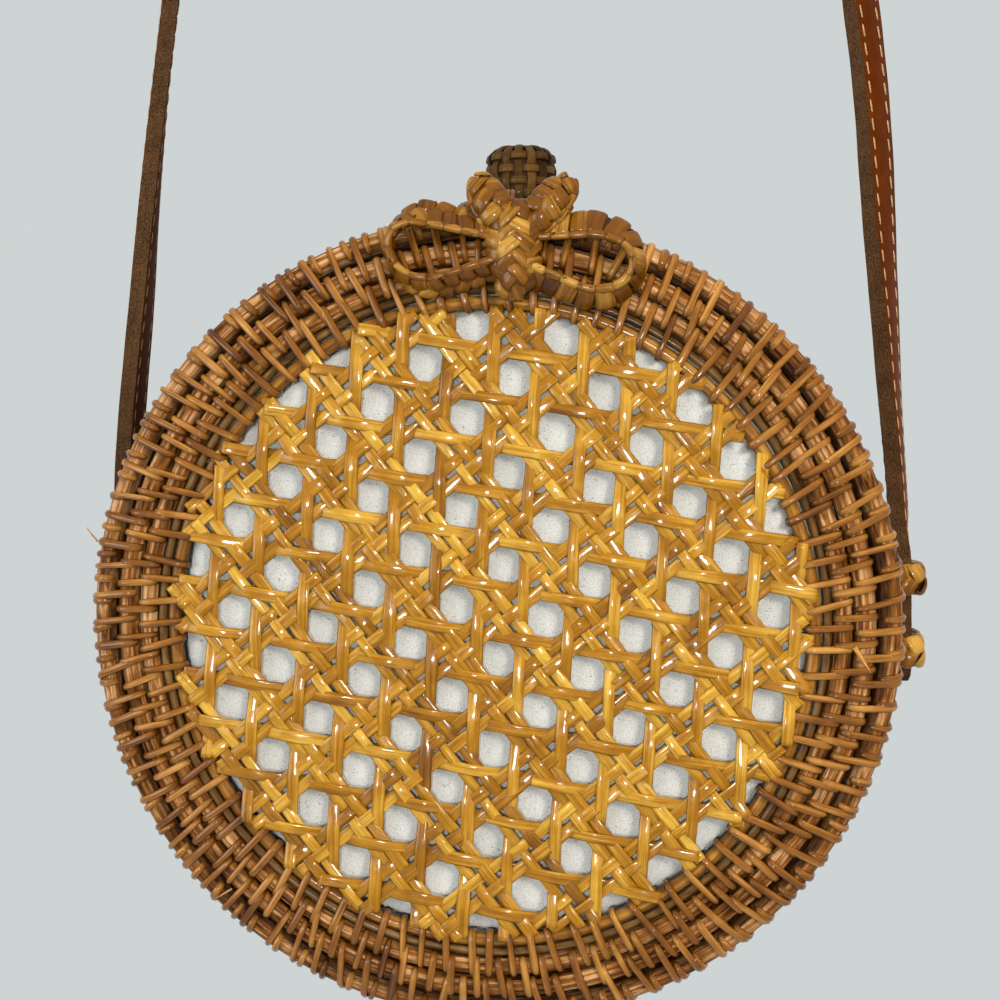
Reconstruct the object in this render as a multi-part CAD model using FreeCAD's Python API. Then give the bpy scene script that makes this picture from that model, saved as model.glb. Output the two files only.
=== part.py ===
import FreeCAD, Part
import math
import os

# Round rattan shoulder bag in millimetres, +Z up, front face towards -Y.
# Pieces are drawn round the bag's own centre, the middle of the seam plane,
# and exported with the middle of the strap's top bend, on its underside, at the origin.

V = FreeCAD.Vector
AXIS_X = V(1, 0, 0)
AXIS_Y = V(0, 1, 0)
AXIS_Z = V(0, 0, 1)
CENTRE = V(0, 0, 0)
SAME_SPOT = 1e-6

# Coiled body
bag_radius = 100.0
row_width = 6.4
row_pitch = 6.2
row_dip = 1.2
corner_start = -50
corner_turn = 50
front_wall_rows = 5
back_wall_rows = 7
seam_gap = 0.3
fit_gap = 0.1

# Front face rows, from the corner row inwards: width and rise above the corner row
face_rows = [(5.7, 1.5), (4.9, 1.8)]
face_thickness = 5.7
clamp_rod_radius = 1.1
edge_rod_radius = 1.75
rod_gap = 0.2
rod_rise = 1.35

# Back face rows
back_rows = 16
back_rise = 1.5

# Cane webbing: strand width, lattice pitches and directions, pair spacings
strand_width = 2.75
panel_thickness = 0.9
panel_lap = 1.0
panel_gap = 0.05
cane_pitch_rising = 15.0
cane_pitch_falling = 16.63
cane_angle_rising = 39.9
cane_angle_falling = -52.05
pair_spacing_rising = 4.2
pair_spacing_falling = 3.1
cane_origin_x = -7.75
cane_origin_z = 5.25
smallest_hole = 8.0

# Cotton linings
lining_thickness = 0.8
lining_crown = 3.2
lining_shoulder = 3.5

# Bow: knot, then loops as reach from the knot, direction and radius of the band's middle line
bow_x = 6.7
bow_drop = 2.5
bow_gap = 0.2
knot_height = 23.5
knot_radius = 6.3
knot_belly_rise = 2.8
knot_top_radius = 3.6
knot_foot_radius = 2.6
knot_depth = 8.0
band_half_width = 2.7
band_half_depth = 3.6
large_loops = {"left": (20.2, 177.7, 7.3), "right": (18.8, -9.8, 8.4)}
large_root_reach = 3.5
fold_half_width = 1.4
fold_half_depth = 2.8
small_loops = {"upper_left": (15.4, 119.0, 2.9), "upper_right": (17.2, 50.0, 3.0)}
small_root_reach = 5.0
root_gap = 0.3

# Knob and closure loop
knob_x = 4.2
knob_row = 2
knob_radius = 9.75
knob_height = 18.0
knob_shoulder = 3.6
knob_belly = 0.8
knob_skin = 0.9
stem_radius = 3.0
stem_height = 5.0
closure_strand_radius = 1.5
closure_side_gap = 0.6
closure_lie = 1.1
closure_length = 60.75
keeper_gap = 0.35
keeper_wall = 1.4
keeper_width = 4.0
keeper_setback = 1.6

# Strap and its side loops
strap_width = 11.0
strap_layer = 2.2
strap_side_gap = 6.0
strap_rows_back = 1.95
strap_sweep_radius = 1316.0
strap_sweep_low = -26.0
strap_bulge = 0.3
strap_lean = 13.5
strap_bend_radius = 18.0
strap_tab = 5.0
strap_joint_gap = 0.3
loop_middle = -1.5
loop_spacing = 19.0
loop_height = 8.0
loop_wall = 2.9
loop_gap = 0.2
loop_round = 2.3
pivot_rise = 2.0

# Bottom hinge
hinge_drop = 1.5
hinge_pin_radius = 1.2
hinge_pin_overhang = 2.0
hinge_running_gap = 0.05
hinge_loop_wall = 0.8
hinge_front_width = 11.0
hinge_back_width = 9.0
hinge_side_gap = 0.5
hinge_tail_length = 9.0
hinge_tail_thickness = 0.8

# Worked-out levels and radii
wall_inner = bag_radius - row_width
front_depth = seam_gap / 2 + front_wall_rows * row_pitch
back_depth = seam_gap / 2 + back_wall_rows * row_pitch
face_outer = wall_inner - fit_gap
face_inner = face_outer - sum(width for width, rise in face_rows) - fit_gap * (len(face_rows) - 1)
front_face_back = front_depth + face_rows[0][1] - face_thickness
back_face_back = back_depth + back_rise - face_thickness
clamp_rod_ring = face_inner - fit_gap - clamp_rod_radius
edge_rod_ring = clamp_rod_ring - clamp_rod_radius - rod_gap - edge_rod_radius
rod_front = front_depth + rod_rise
panel_radius = edge_rod_ring + panel_lap
panel_back = rod_front + panel_gap
panel_front = panel_back + panel_thickness
bow_back = panel_front + bow_gap
bow_z = face_outer - bow_drop
strap_thickness = 2 * strap_layer
strap_y = seam_gap / 2 + strap_rows_back * row_pitch
strap_x = bag_radius + strap_side_gap
pivot_z = loop_middle + loop_spacing / 2 + loop_height / 2 + pivot_rise + strap_width / 2
knob_y = seam_gap / 2 + (knob_row + 0.5) * row_pitch
closure_z = bag_radius + closure_lie + closure_strand_radius
closure_front_y = -(front_depth - keeper_setback)
hinge_z = -(bag_radius + hinge_drop)
hinge_loop_radius = hinge_pin_radius + hinge_running_gap + hinge_loop_wall
hinge_back_start = hinge_front_width / 2 + hinge_side_gap
hinge_pin_reach = hinge_back_start + hinge_back_width + hinge_pin_overhang

# Strap legs sweep in on a large radius, run straight and turn over the top bend
lean = math.radians(strap_lean)
sweep_centre = V(strap_x + strap_bulge - strap_sweep_radius, 0, strap_sweep_low)
sweep_end = sweep_centre + V(math.cos(lean), 0, math.sin(lean)) * strap_sweep_radius
bend_height = sweep_end.z + (sweep_end.x * math.cos(lean) - strap_bend_radius) / math.sin(lean)
hang_height = bend_height + strap_bend_radius - strap_thickness / 2


def export(name, shape):
    placed = shape.copy()
    placed.translate(V(0, -strap_y, -hang_height))
    if not placed.isValid() or placed.Volume <= 0:
        raise ValueError(name + " is not a sound solid")
    placed.exportStep(os.path.join("parts", name + ".step"))


def line(a, b):
    return Part.LineSegment(a, b).toShape()


def arc(a, middle, b):
    return Part.Arc(a, middle, b).toShape()


def polar(centre, radius, degrees):
    turn = math.radians(degrees)
    return V(centre.x + radius * math.cos(turn), centre.y + radius * math.sin(turn), 0)


def polygon_face(points):
    return Part.Face(Part.makePolygon(points + [points[0]]))


def revolved(edges):
    return Part.Face(Part.Wire(edges)).revolve(CENTRE, AXIS_Y, 360)


def scalloped(rows, dip, point):
    """Arcs over rows given as (from, to, crest), joined by short lines where crests differ."""
    edges = []
    for start, end, crest in rows:
        first = point(start, crest - dip)
        if edges:
            last = edges[-1].lastVertex().Point
            if last.distanceToPoint(first) > SAME_SPOT:
                edges.append(line(last, first))
        edges.append(arc(first, point((start + end) / 2, crest), point(end, crest - dip)))
    return edges


def wall_coil(wall_rows, side):
    """One half's wall: rows stacked along Y and a round corner row at the face."""
    corner_depth = seam_gap / 2 + (wall_rows - 0.5) * row_pitch
    starts = [seam_gap / 2 + index * row_pitch for index in range(wall_rows - 1)]
    rows = [(start, start + row_pitch, bag_radius) for start in starts]
    edges = scalloped(rows, row_dip, lambda along, radius: V(radius, along, 0))
    corner = V(bag_radius - row_width / 2, corner_depth, 0)
    turns = [polar(corner, row_width / 2, corner_start + step * corner_turn) for step in range(5)]
    first = V(bag_radius - row_dip, seam_gap / 2, 0)
    last = V(bag_radius - row_dip, seam_gap / 2 + (wall_rows - 1) * row_pitch, 0)
    edges.append(line(last, turns[0]))
    edges.append(arc(turns[0], turns[1], turns[2]))
    edges.append(arc(turns[2], turns[3], turns[4]))
    inner_top = V(wall_inner, corner_depth, 0)
    inner_low = V(wall_inner, seam_gap / 2, 0)
    edges += [line(turns[4], inner_top), line(inner_top, inner_low), line(inner_low, first)]
    coil = revolved(edges)
    return coil if side > 0 else coil.mirror(CENTRE, AXIS_Y)


def front_face_coil():
    """The rows that step in from the corner row, scalloped in front and flat behind."""
    outer = face_outer
    rows = []
    for width, rise in face_rows:
        rows.append((outer, outer - width, front_depth + rise))
        outer -= width + fit_gap
    edges = scalloped(rows, row_dip, lambda radius, depth: V(radius, -depth, 0))
    first = V(face_outer, -(front_depth + face_rows[0][1] - row_dip), 0)
    last = V(face_inner, -(front_depth + face_rows[-1][1] - row_dip), 0)
    back_in = V(face_inner, -front_face_back, 0)
    back_out = V(face_outer, -front_face_back, 0)
    edges += [line(last, back_in), line(back_in, back_out), line(back_out, first)]
    return revolved(edges)


def back_face_coil():
    """The full coiled disc of the back half, from the corner row to a button at the centre."""
    width = face_outer / back_rows
    crest = back_depth + back_rise
    rows = [(face_outer - n * width, face_outer - (n + 1) * width, crest) for n in range(back_rows - 1)]
    edges = scalloped(rows, row_dip, lambda radius, depth: V(radius, depth, 0))
    low = crest - row_dip
    points = [(width, low), (width / 2, crest), (0, crest)]
    points += [(0, back_face_back), (face_outer, back_face_back), (face_outer, low)]
    spots = [V(radius, depth, 0) for radius, depth in points]
    edges += [line(a, b) for a, b in zip(spots, spots[1:])]
    return revolved(edges)


def rod_ring(ring_radius, rod_radius):
    """A closed rod whose foremost line lies level with the other rods."""
    centre = V(0, -(rod_front - rod_radius), 0)
    return Part.makeTorus(ring_radius, rod_radius, centre, AXIS_Y)


def cane_panel():
    """One sheet with the eight-sided gaps that pairs of strands and single diagonals leave."""
    rising = V(math.cos(math.radians(cane_angle_rising)), 0, math.sin(math.radians(cane_angle_rising)))
    falling = V(math.cos(math.radians(cane_angle_falling)), 0, math.sin(math.radians(cane_angle_falling)))
    step_u = rising * cane_pitch_rising
    step_v = falling * cane_pitch_falling
    cell = abs(step_u.x * step_v.z - step_u.z * step_v.x)

    def square_to(direction):
        return V(-direction.z, 0, direction.x).normalize()

    half = strand_width / 2
    sides = [
        (square_to(step_u), cell / step_u.Length / 2 - pair_spacing_rising / 2 - half),
        (square_to(step_v), cell / step_v.Length / 2 - pair_spacing_falling / 2 - half),
        (square_to(step_u + step_v), cell / (step_u + step_v).Length / 2 - half),
        (square_to(step_u - step_v), cell / (step_u - step_v).Length / 2 - half),
    ]
    sides = [(normal * sign, reach) for normal, reach in sides for sign in (1, -1)]
    sides.sort(key=lambda side: math.atan2(side[0].z, side[0].x))
    corners = []
    for (n1, d1), (n2, d2) in zip(sides, sides[1:] + sides[:1]):
        spread = n1.x * n2.z - n1.z * n2.x
        corners.append(V((d1 * n2.z - d2 * n1.z) / spread, 0, (n1.x * d2 - n2.x * d1) / spread))

    opening = Part.Face(Part.Wire(Part.makeCircle(edge_rod_ring - edge_rod_radius, CENTRE, AXIS_Y)))
    span = int(2 * panel_radius / min(cane_pitch_rising, cane_pitch_falling))
    hole_wires = []
    for i in range(-span, span + 1):
        for j in range(-span, span + 1):
            middle = V(cane_origin_x, 0, cane_origin_z) + step_u * i + step_v * j
            if middle.Length > edge_rod_ring:
                continue
            gap = polygon_face([middle + corner for corner in corners]).common(opening)
            for face in gap.Faces:
                if face.Area > smallest_hole:
                    hole_wires.append(face.OuterWire)
    sheet = Part.Face(Part.Wire(Part.makeCircle(panel_radius, CENTRE, AXIS_Y)))
    for wire in hole_wires:
        sheet = sheet.cut(Part.Face(wire))
    panel = sheet.Faces[0].extrude(V(0, -panel_thickness, 0))
    panel.translate(V(0, -panel_back, 0))
    return panel


def wall_lining(face_back, side):
    outer = wall_inner - fit_gap
    low = seam_gap / 2 + lining_thickness
    high = face_back - lining_thickness - 2 * fit_gap
    ring = Part.makeCylinder(outer, high - low, V(0, low, 0), AXIS_Y)
    ring = ring.cut(Part.makeCylinder(outer - lining_thickness, high - low, V(0, low, 0), AXIS_Y))
    return ring if side > 0 else ring.mirror(CENTRE, AXIS_Y)


def front_face_lining():
    """Cotton disc behind the face rows, its middle drawn forward close behind the cane."""
    rim = front_face_back - fit_gap
    crown = rim + lining_crown
    inner = edge_rod_ring - edge_rod_radius - lining_shoulder
    outer = face_outer - fit_gap
    front = [(0, crown), (inner, crown), (inner + lining_shoulder, rim), (outer, rim)]
    back = [(radius, depth - lining_thickness) for radius, depth in reversed(front)]
    face = polygon_face([V(radius, -depth, 0) for radius, depth in front + back])
    return face.revolve(CENTRE, AXIS_Y, 360)


def back_face_lining():
    low = back_face_back - fit_gap - lining_thickness
    return Part.makeCylinder(face_outer - fit_gap, lining_thickness, V(0, low, 0), AXIS_Y)


def bow_knot():
    """Plaited knot: a tapering barrel with a flat back on the rim."""
    top = V(knot_top_radius, 0, knot_height / 2)
    belly = V(knot_radius, 0, knot_belly_rise)
    foot = V(knot_foot_radius, 0, -knot_height / 2)
    edges = [
        line(V(0, 0, foot.z), foot),
        arc(foot, belly, top),
        line(top, V(0, 0, top.z)),
        line(V(0, 0, top.z), V(0, 0, foot.z)),
    ]
    knot = Part.Face(Part.Wire(edges)).revolve(CENTRE, AXIS_Z, 360)
    knot.translate(V(bow_x, -(bow_back + knot_depth - knot_radius), bow_z))
    reach = 2 * knot_height
    back = Part.makeBox(reach, reach, reach, V(bow_x - reach / 2, -bow_back, bow_z - reach / 2))
    return knot.cut(back)


def bow_loop(far_end, root, half_width, half_depth):
    """A plaited band bent round in a drop shape, both its ends inside the knot."""
    reach, direction, radius = far_end
    root_reach, root_radius = root
    taper = math.asin((radius - root_radius) / (reach - root_reach))
    middle = V(bow_x, -(bow_back + half_depth), bow_z)
    heading = math.radians(direction)

    def spot(distance, out, degrees):
        turn = math.radians(degrees)
        along = distance + out * math.cos(turn)
        across = out * math.sin(turn)
        x = along * math.cos(heading) - across * math.sin(heading)
        z = along * math.sin(heading) + across * math.cos(heading)
        return middle + V(x, 0, z)

    lift = 90 + math.degrees(taper)
    bight = [spot(reach, radius, degrees) for degrees in (-lift, -lift / 2, 0, lift / 2, lift)]
    start = spot(root_reach, root_radius, -lift)
    end = spot(root_reach, root_radius, lift)
    path = Part.Wire([
        line(start, bight[0]),
        arc(bight[0], bight[1], bight[2]),
        arc(bight[2], bight[3], bight[4]),
        line(bight[4], end),
    ])
    across = (bight[0] - start).normalize().cross(AXIS_Y)
    ellipse = Part.Ellipse(start + AXIS_Y * half_depth, start + across * half_width, start)
    section = Part.Wire(ellipse.toShape())
    return path.makePipeShell([section], True, False)


def bow_loops(knot):
    """The large loops end at the knot, and the small ones stand clear of both."""
    loops = {}
    taken = knot
    root = (large_root_reach, band_half_width + root_gap / 2)
    for name, far_end in large_loops.items():
        loops[name] = bow_loop(far_end, root, band_half_width, band_half_depth).cut(knot)
        taken = taken.fuse(bow_loop(far_end, root, band_half_width + root_gap, band_half_depth + root_gap))
    root = (small_root_reach, fold_half_width + root_gap / 2)
    for name, far_end in small_loops.items():
        loops[name] = bow_loop(far_end, root, fold_half_width, fold_half_depth).cut(taken)
    return loops


def knob_profile(inset):
    low = bag_radius + stem_height + inset
    high = bag_radius + stem_height + knob_height - inset
    middle = (low + high) / 2
    wide = knob_radius - inset
    turn = knob_shoulder - inset
    shoulder = V(wide - knob_belly - turn, 0, high - turn)
    foot = V(shoulder.x, 0, low + turn)
    out = AXIS_X * turn
    up = AXIS_Z * turn
    slant = math.sqrt(0.5)
    edges = [
        line(V(0, 0, low), foot - up),
        arc(foot - up, foot + (out - up) * slant, foot + out),
        arc(foot + out, V(wide, 0, middle), shoulder + out),
        arc(shoulder + out, shoulder + (out + up) * slant, shoulder + up),
        line(shoulder + up, V(0, 0, high)),
        line(V(0, 0, high), V(0, 0, low)),
    ]
    barrel = Part.Face(Part.Wire(edges)).revolve(CENTRE, AXIS_Z, 360)
    barrel.translate(V(knob_x, knob_y, 0))
    return barrel


def knob_stem():
    """Peg from the wall row up to the core, through the woven skin."""
    low = bag_radius + fit_gap
    high = bag_radius + stem_height + knob_skin
    return Part.makeCylinder(stem_radius, high - low, V(knob_x, knob_y, low), AXIS_Z)


def knob_weave(core):
    hole = Part.makeCylinder(stem_radius, knob_height, V(knob_x, knob_y, bag_radius), AXIS_Z)
    return knob_profile(0).cut(core).cut(hole)


def closure_loop():
    """Plaited cord ring lying round the knob, its front bight held in the keeper."""
    half = knob_radius + closure_side_gap + closure_strand_radius
    front = V(knob_x, closure_front_y, closure_z)
    back = V(knob_x, closure_front_y + closure_length, closure_z)
    side = V(half, 0, 0)
    turn = V(0, half, 0)
    path = Part.Wire([
        arc(front + turn - side, front, front + turn + side),
        line(front + turn + side, back - turn + side),
        arc(back - turn + side, back, back - turn - side),
        line(back - turn - side, front + turn - side),
    ])
    section = Part.Wire(Part.makeCircle(closure_strand_radius, front + turn - side, AXIS_Y))
    return path.makePipeShell([section], True, False)


def closure_keeper():
    """Lashed eye on the corner row that holds the closure loop's front bight."""
    bore = closure_strand_radius + keeper_gap
    start = V(knob_x - keeper_width / 2, closure_front_y, closure_z)
    eye = Part.makeCylinder(bore + keeper_wall, keeper_width, start, AXIS_X)
    eye = eye.cut(Part.makeCylinder(bore, keeper_width, start, AXIS_X))
    seat = Part.makeCylinder(bag_radius + fit_gap, 4 * back_depth, V(0, -2 * back_depth, 0), AXIS_Y)
    return eye.cut(seat)


def strap_edges(offset, mirrored):
    """One edge line of a leg, from below the pivot to the top of the bend."""
    flip = -1 if mirrored else 1
    start_turn = math.asin((pivot_z - strap_width - strap_sweep_low) / strap_sweep_radius)
    radius = strap_sweep_radius + offset
    bend = strap_bend_radius + offset

    def sweep(turn):
        spot = sweep_centre + V(math.cos(turn), 0, math.sin(turn)) * radius
        return V(spot.x * flip, 0, spot.z)

    def bend_spot(turn):
        return V(flip * bend * math.cos(turn), 0, bend_height + bend * math.sin(turn))

    first = sweep(start_turn)
    leg_end = sweep(lean)
    top_start = bend_spot(lean)
    half_way = bend_spot((lean + math.pi / 2) / 2)
    top = bend_spot(math.pi / 2)
    return [
        arc(first, sweep((start_turn + lean) / 2), leg_end),
        line(leg_end, top_start),
        arc(top_start, half_way, top),
    ], first


def strap_ply(inner_offset, outer_offset):
    """One leather layer of the strap, with round ends about the pivot line."""
    plies = []
    for mirrored in (False, True):
        inner, inner_start = strap_edges(inner_offset, mirrored)
        outer, outer_start = strap_edges(outer_offset, mirrored)
        top_inner = V(0, 0, bend_height + strap_bend_radius + inner_offset)
        top_outer = V(0, 0, bend_height + strap_bend_radius + outer_offset)
        foot = line(inner_start, outer_start)
        crown = line(top_inner, top_outer)
        outline = Part.Wire(Part.__sortEdges__(inner + outer + [foot, crown]))
        leg = Part.Face(outline).extrude(V(0, strap_width, 0))
        leg.translate(V(0, strap_y - strap_width / 2, 0))
        plies.append(leg)
    strap = plies[0].fuse(plies[1]).removeSplitter()
    reach = 2 * strap_x
    block = Part.makeBox(2 * reach, reach, 2 * hang_height, V(-reach, strap_y - reach / 2, pivot_z))
    eye = Part.makeCylinder(strap_width / 2, 2 * reach, V(-reach, strap_y, pivot_z), AXIS_X)
    return strap.common(block.fuse(eye))


def strap_end(side):
    """The strap's end below the pivot, held by both side loops, with a round tab."""
    top = pivot_z - strap_width / 2 - strap_joint_gap
    low = loop_middle - loop_spacing / 2 - loop_height / 2 - strap_tab
    start = V(side * strap_x - strap_thickness / 2, strap_y, 0)
    half = strap_width / 2
    corner = start + V(0, -half, low + half)
    tab = Part.makeBox(strap_thickness, strap_width, top - low - half, corner)
    foot = Part.makeCylinder(half, strap_thickness, start + V(0, 0, low + half), AXIS_X)
    return tab.fuse(foot).removeSplitter()


def side_loop(side, height):
    """Plaited ring lashed to the wall round the strap end."""
    inner_x = strap_thickness / 2 + loop_gap
    inner_y = strap_width / 2 + loop_gap
    outer_y = inner_y + loop_wall
    outer_x = strap_x + inner_x + loop_wall
    low = height - loop_height / 2
    corner = V(wall_inner, strap_y - outer_y, low)
    body = Part.makeBox(outer_x - wall_inner, 2 * outer_y, loop_height, corner)
    outer_edges = [edge for edge in body.Edges if edge.CenterOfMass.x > outer_x - fit_gap]
    body = body.makeFillet(min(loop_round, loop_wall), outer_edges)
    hole = Part.makeBox(2 * inner_x, 2 * inner_y, loop_height, V(strap_x - inner_x, strap_y - inner_y, low))
    seat = Part.makeCylinder(bag_radius + fit_gap, 4 * back_depth, V(0, -2 * back_depth, 0), AXIS_Y)
    ring = body.cut(hole).cut(seat)
    return ring if side > 0 else ring.mirror(CENTRE, AXIS_X)


def hinge_pin():
    start = V(-hinge_pin_reach, 0, hinge_z)
    return Part.makeCylinder(hinge_pin_radius, 2 * hinge_pin_reach, start, AXIS_X)


def hinge_loop(start_x, width, side):
    """Wrapped strip: an eye round the pin and a tail along the bottom of one half."""
    low = bag_radius + fit_gap
    high = low + hinge_tail_thickness
    tail = Part.makeCylinder(high, hinge_tail_length, V(0, 0, 0), AXIS_Y)
    tail = tail.cut(Part.makeCylinder(low, hinge_tail_length, V(0, 0, 0), AXIS_Y))
    slab = Part.makeBox(width, hinge_tail_length, high, V(start_x, 0, -high))
    tail = tail.common(slab)
    if side < 0:
        tail = tail.mirror(CENTRE, AXIS_Y)
    start = V(start_x, 0, hinge_z)
    eye = Part.makeCylinder(hinge_loop_radius, width, start, AXIS_X)
    bore = Part.makeCylinder(hinge_pin_radius + hinge_running_gap, width, start, AXIS_X)
    return eye.fuse(tail).cut(bore).removeSplitter()


def build():
    os.makedirs("parts", exist_ok=True)

    export("front_wall_coil", wall_coil(front_wall_rows, -1))
    export("front_face_coil", front_face_coil())
    export("panel_clamp_rod", rod_ring(clamp_rod_ring, clamp_rod_radius))
    export("panel_edge_rod", rod_ring(edge_rod_ring, edge_rod_radius))
    export("cane_panel", cane_panel())
    export("front_face_lining", front_face_lining())
    export("front_wall_lining", wall_lining(front_face_back, -1))

    export("back_wall_coil", wall_coil(back_wall_rows, 1))
    export("back_face_coil", back_face_coil())
    export("back_face_lining", back_face_lining())
    export("back_wall_lining", wall_lining(back_face_back, 1))

    knot = bow_knot()
    export("bow_knot", knot)
    for name, loop in bow_loops(knot).items():
        export("bow_loop_" + name, loop)

    core = knob_profile(knob_skin)
    export("knob_core", core)
    export("knob_weave", knob_weave(core))
    export("knob_stem", knob_stem())
    export("closure_loop", closure_loop())
    export("closure_keeper", closure_keeper())

    export("strap_face", strap_ply(0, strap_layer))
    export("strap_backing", strap_ply(-strap_layer, 0))
    for name, side in (("left", -1), ("right", 1)):
        export("strap_end_" + name, strap_end(side))
        export("strap_loop_" + name + "_upper", side_loop(side, loop_middle + loop_spacing / 2))
        export("strap_loop_" + name + "_lower", side_loop(side, loop_middle - loop_spacing / 2))

    export("hinge_pin", hinge_pin())
    export("hinge_loop_front", hinge_loop(-hinge_front_width / 2, hinge_front_width, -1))
    left_start = -hinge_back_start - hinge_back_width
    export("hinge_loop_back_left", hinge_loop(left_start, hinge_back_width, 1))
    export("hinge_loop_back_right", hinge_loop(hinge_back_start, hinge_back_width, 1))


build()
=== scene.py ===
import math

import bmesh
import bpy
import numpy as np
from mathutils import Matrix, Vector


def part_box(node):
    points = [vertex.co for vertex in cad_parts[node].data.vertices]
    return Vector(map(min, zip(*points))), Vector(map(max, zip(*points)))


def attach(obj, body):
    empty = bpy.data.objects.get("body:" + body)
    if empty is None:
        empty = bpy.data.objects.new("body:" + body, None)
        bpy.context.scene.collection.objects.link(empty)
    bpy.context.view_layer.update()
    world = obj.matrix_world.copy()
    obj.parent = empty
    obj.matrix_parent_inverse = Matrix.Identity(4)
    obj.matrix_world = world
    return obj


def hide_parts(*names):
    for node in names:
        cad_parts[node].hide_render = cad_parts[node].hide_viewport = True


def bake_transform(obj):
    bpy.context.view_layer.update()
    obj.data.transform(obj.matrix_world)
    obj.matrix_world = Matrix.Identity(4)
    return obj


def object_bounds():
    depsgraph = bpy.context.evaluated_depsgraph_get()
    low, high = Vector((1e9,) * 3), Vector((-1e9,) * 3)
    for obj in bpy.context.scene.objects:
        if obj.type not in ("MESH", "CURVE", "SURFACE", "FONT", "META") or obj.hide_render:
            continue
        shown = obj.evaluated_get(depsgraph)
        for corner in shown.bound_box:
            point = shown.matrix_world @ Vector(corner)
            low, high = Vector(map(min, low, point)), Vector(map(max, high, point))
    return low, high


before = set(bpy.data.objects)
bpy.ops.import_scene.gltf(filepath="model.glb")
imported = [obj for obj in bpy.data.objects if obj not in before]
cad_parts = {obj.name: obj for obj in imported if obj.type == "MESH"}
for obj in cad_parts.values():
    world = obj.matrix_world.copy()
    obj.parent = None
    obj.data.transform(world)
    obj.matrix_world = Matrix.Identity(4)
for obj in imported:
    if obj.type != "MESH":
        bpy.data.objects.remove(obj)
cad_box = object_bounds()

# Pieces are drawn in millimetres round the middle of the seam plane, front towards -Y.
MM = 0.001
front_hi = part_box("front_wall_coil")[1]
back_lo, back_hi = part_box("back_wall_coil")
BAG = np.array([(back_lo.x + back_hi.x) / 2, (front_hi.y + back_lo.y) / 2, (back_lo.z + back_hi.z) / 2])
RANDOM = np.random.default_rng(7)
X = np.array([1.0, 0.0, 0.0])
Y = np.array([0.0, 1.0, 0.0])
Z = np.array([0.0, 0.0, 1.0])


def node_box(node):
    """A CAD node's lowest and highest corners in bag millimetres."""
    low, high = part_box(node)
    return (np.array(low) - BAG) / MM, (np.array(high) - BAG) / MM


def row_frame(point):
    """A bag point in metres in the part's frame."""
    return tuple(np.asarray(point) * MM + BAG)


# Coiled rows of the walls, the two inner rows of the front face, the rods round its opening, the back face
bag_radius = node_box("back_wall_coil")[1][0]
row_width = 6.4
row_pitch = 6.2
row_half = 3.08
seam_half = 0.15
wall_row_radius = bag_radius - row_width / 2
front_rows = round(-node_box("front_wall_coil")[0][1] / row_pitch)
back_rows = round(node_box("back_wall_coil")[1][1] / row_pitch)
face_low, face_high = node_box("front_face_coil")
face_outer = face_high[0]
face_crest = -face_low[1]
inner_row_half = 2.45
inner_row_inset = 8.25
middle_row_half = 2.8
middle_row_inset = 2.85
middle_row_drop = 0.3
clamp_half = 1.1
edge_half = 1.75
clamp_radius = node_box("panel_clamp_rod")[1][0] - clamp_half
edge_radius = node_box("panel_edge_rod")[1][0] - edge_half
rod_front = -node_box("panel_edge_rod")[0][1]
back_crest = node_box("back_face_coil")[1][1]
back_face_rows = 16
back_row_width = face_outer / back_face_rows
spiral_half = back_row_width / 2
spiral_depth = back_crest - spiral_half
spiral_turns = face_outer / back_row_width + 0.1

# The seen side of a row as an angle from outwards to +Y; rings and fine points of the rows in front
to_front = math.radians(-90)
to_back = math.radians(90)
corner_facing = math.radians(48)
front_fineness = (360, 19)

# Split rattan lashing: stitches in a round, their size, tuck, slant, dip at the ends, spacing on the spiral
stitch_count = 92
stitch_width = 1.9
stitch_height = 0.82
stitch_tuck = math.radians(24)
stitch_slant = math.radians(6)
stitch_slant_spread = math.radians(4)
stitch_slack = 0.22
smallest_round = 4
stitch_dips = (0.9, 0.2)
stitch_end_shade = 2.6
stitch_spacing = 6.6
edge_stitch_lift = 0.75

# Worn strip ends that stand out of the lashing: start, heading, length and width
worn_ends = (
    ((87.4, -36.4, -3.4), -58, 7.0, 1.2),
    ((-98.6, -30.0, 19.6), 122, 4.2, 0.4),
    ((-64.0, -35.0, -66.5), -150, 4.5, 0.5),
)


def running(steps):
    """Distance from the start of each strand, before and after its steps."""
    return np.concatenate([np.zeros((len(steps), 1)), np.cumsum(steps, axis=1)], axis=1)


def grain_of(rings, closed):
    """Distances along and across each strand for the points of its skin."""
    along = np.linalg.norm(np.diff(rings.mean(axis=2), axis=1), axis=-1)
    if closed:
        along = np.concatenate([along, along[:, :1]], axis=1)
    across = np.linalg.norm(np.diff(rings[:, 0], axis=1, append=rings[:, 0, :1]), axis=-1)
    return np.stack(np.broadcast_arrays(running(along)[:, :, None], running(across)[:, None, :]), axis=-1)


def winding(rings):
    """1 where the skin of the first strand faces outwards as it is drawn, otherwise -1."""
    first, second = rings[0, :2]
    normal = np.cross(np.roll(first, -1, axis=0) - first, second - first)
    return -1 if np.sum(normal * (first - first.mean(axis=0))) < 0 else 1


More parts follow.
